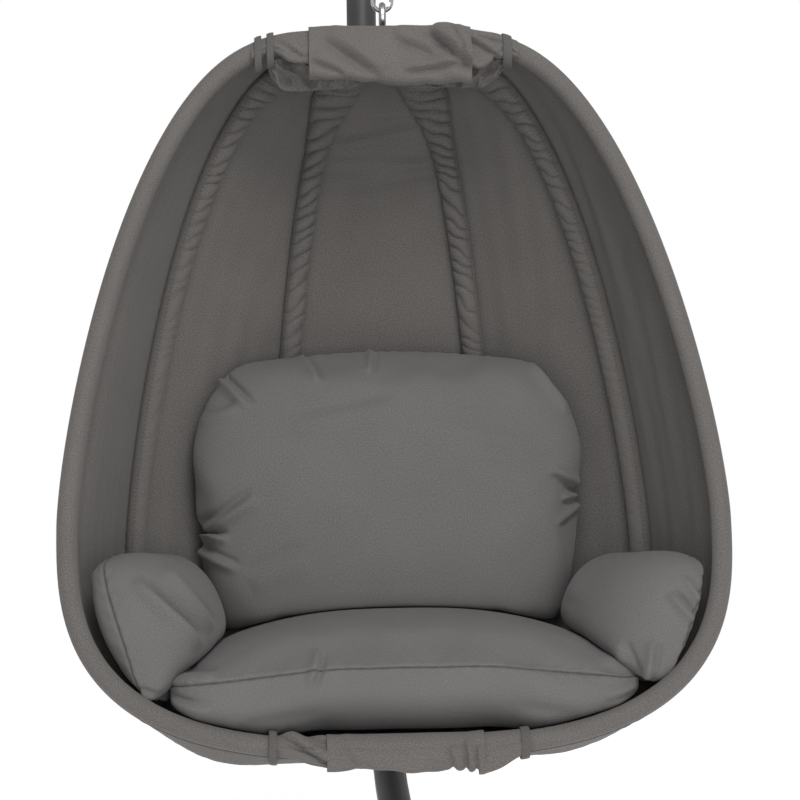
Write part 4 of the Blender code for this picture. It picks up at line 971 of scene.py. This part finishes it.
def make_cushion(name, half, upper, lower, corner, shape, heart, others, folds, growth, front):
    """One cushion from its sewn cover to the finished piece. shape places the plump cover in the chair."""
    a, b, side, faces = sewn_cover(*half)
    points, from_seam, cut = pillow(a, b, side, half, upper, lower, corner)
    plan = points[:, :2] / np.array(half)
    points = shape(plumped(points, faces, from_seam, growth), *plan.T)
    crown = points[list(faces[len(faces) // 4])]
    if np.cross(crown[1] - crown[0], crown[3] - crown[0]) @ (crown[0] - points.mean(axis=0)) < 0:
        faces = [face[::-1] for face in faces]
    points = pressed_in(points, faces, np.array(heart), others, front)
    return add_cushion(name, points, faces, cut, from_seam, folds)


def seat_shape(points, a, b):
    """The seat: narrower at the back, bulging in front, with its corners and sides hanging a little."""
    x, y, z = points.T
    x = x * (1 - 0.06 * (b + 1) / 2)
    y = y - 0.013 * bell(z, -0.045, 0.035) * np.clip(-b, 0.0, 1.0) ** 3
    z = z - (0.022 + 0.030 * np.clip(z / 0.04, 0.0, 1.0)) * np.abs(a) ** 2.5 - 0.012 * np.clip(b, 0.0, 1.0)
    return np.stack([x, y, z], axis=1) @ yaw_turn.T + SEAT_MIDDLE


seat = make_cushion(
    "seat_pad", SEAT_HALF, upper=(0.053, 2.2, 0.58), lower=(0.104, 14.0, 0.5), corner=6.0,
    shape=seat_shape, heart=(0.002, 0.116, 0.445), others=[], folds=SEAT_FOLDS,
    growth=0.045, front=0.022)

# Back cushion: a softer cover of the same cloth, sewn and stuffed in the same way.
# It leans on the ribs behind the seat, and its sides and top are drawn into short folds.
BACK_HALF = (0.324, 0.250)
BACK_LEAN = math.radians(78)
BACK_MIDDLE = np.array([0.007, 0.272, 0.640])
# each pinch: its side, how far up the side it is and its depth
BACK_PINCHES = ((-1, -0.11, 0.022), (1, 0.10, 0.018))
BACK_FOLDS = (
    ((-0.262, 0.88), (-0.2, 0.815), 0.006, 0.012), ((-0.29, 0.8), (-0.225, 0.82), 0.007, 0.0055),
    ((-0.3, 0.622), (-0.205, 0.684), 0.008, 0.011), ((-0.305, 0.616), (-0.242, 0.62), 0.005, 0.015),
    ((-0.3, 0.606), (-0.225, 0.572), 0.0055, 0.0085), ((0.318, 0.664), (0.246, 0.7), 0.006, 0.011),
    ((0.322, 0.66), (0.268, 0.656), 0.004, 0.012), ((0.318, 0.652), (0.262, 0.618), 0.005, 0.0075),
    ((-0.116, 0.895), (-0.092, 0.85), 0.005, 0.01), ((-0.004, 0.898), (-0.014, 0.858), 0.004, 0.009),
    ((-0.15, 0.8), (0.02, 0.83), 0.016, 0.005), ((0.24, 0.88), (0.296, 0.8), 0.005, 0.0085),
    ((0.04, 0.81), (0.23, 0.77), 0.02, 0.004), ((-0.22, 0.56), (-0.13, 0.6), 0.014, 0.004),
)


def back_shape(points, a, b):
    """The back: wider at the shoulders than at the foot, pinched in at each side, leaned back on the ribs."""
    x, y, z = points.T
    x = x * (1 - 0.30 * np.clip((0.15 - b) / 1.15, 0.0, 1.0) ** 1.3)
    for side, at, depth in BACK_PINCHES:
        x = x - side * depth * bell(b, at, 0.06) * np.clip((side * a - 0.6) / 0.4, 0.0, 1.0) ** 2
    y = y + 0.010 * np.cos(np.pi * a) * np.clip(b, 0.0, 1.0)
    tip = np.array([
        [1, 0, 0],
        [0, math.cos(BACK_LEAN), -math.sin(BACK_LEAN)],
        [0, math.sin(BACK_LEAN), math.cos(BACK_LEAN)],
    ])
    return np.stack([x, y, z], axis=1) @ tip.T @ yaw_turn.T + BACK_MIDDLE


back_rest = make_cushion(
    "back_pad", BACK_HALF, upper=(0.086, 4.2, 0.58), lower=(0.070, 4.0, 0.5), corner=4.4,
    shape=back_shape, heart=(0.007, 0.23, 0.668), others=[seat], folds=BACK_FOLDS,
    growth=0.050, front=0.004)

# Arm cushions: one in each side of the pod, smaller and rounder, of the same cloth and sewn in the same way.
# Each stands on edge, wedged between the hoop, the side panel and the seat.
ARM_HALF = (0.166, 0.146)
ARM_FRONTS = {-1: (-0.392, -0.058, 0.468), 1: (0.386, -0.102, 0.458)}
ARM_LEANS = {-1: 0.29, 1: 0.40}
ARM_FOLDS = {
    -1: (((-0.372, 0.58), (-0.28, 0.482), 0.007, 0.018), ((-0.33, 0.592), (-0.262, 0.498), 0.006, 0.013),
         ((-0.416, 0.56), (-0.385, 0.548), 0.004, 0.004), ((-0.38, 0.425), (-0.345, 0.412), 0.005, 0.006),
         ((-0.35, 0.404), (-0.33, 0.425), 0.004, 0.005)),
    1: (((0.376, 0.545), (0.41, 0.505), 0.005, 0.011), ((0.306, 0.475), (0.33, 0.402), 0.006, 0.011),
        ((0.4, 0.565), (0.42, 0.53), 0.004, 0.007), ((0.352, 0.475), (0.34, 0.41), 0.005, 0.01),
        ((0.25, 0.52), (0.275, 0.585), 0.006, 0.006)),
}
for name, sign in (("left", -1), ("right", 1)):
    length_way = unit(np.array([-0.24 * sign, 0.97, -0.08]))
    height_way = unit(np.array([ARM_LEANS[sign] * sign, math.tan(HOOP_TILT), 1.0]))
    inward_way = sign * np.cross(height_way, length_way)
    arm_middle = np.array(ARM_FRONTS[sign]) + ARM_HALF[0] * length_way
    arm_heart = arm_middle + 0.03 * inward_way + np.array([0.0, 0.0, 0.02])

    def arm_shape(points, a, b):
        """An arm: stood on edge along the side of the pod, its fuller face turned inwards."""
        return points @ np.stack([length_way, height_way, inward_way]) + arm_middle

    make_cushion(
        f"arm_pad_{name}", ARM_HALF, upper=(0.108, 2.5, 0.58),
        lower=(0.090, 3.0, 0.5), corner=5.0, shape=arm_shape, heart=arm_heart, others=[seat, back_rest],
        folds=ARM_FOLDS[sign], growth=0.05, front=0.012)
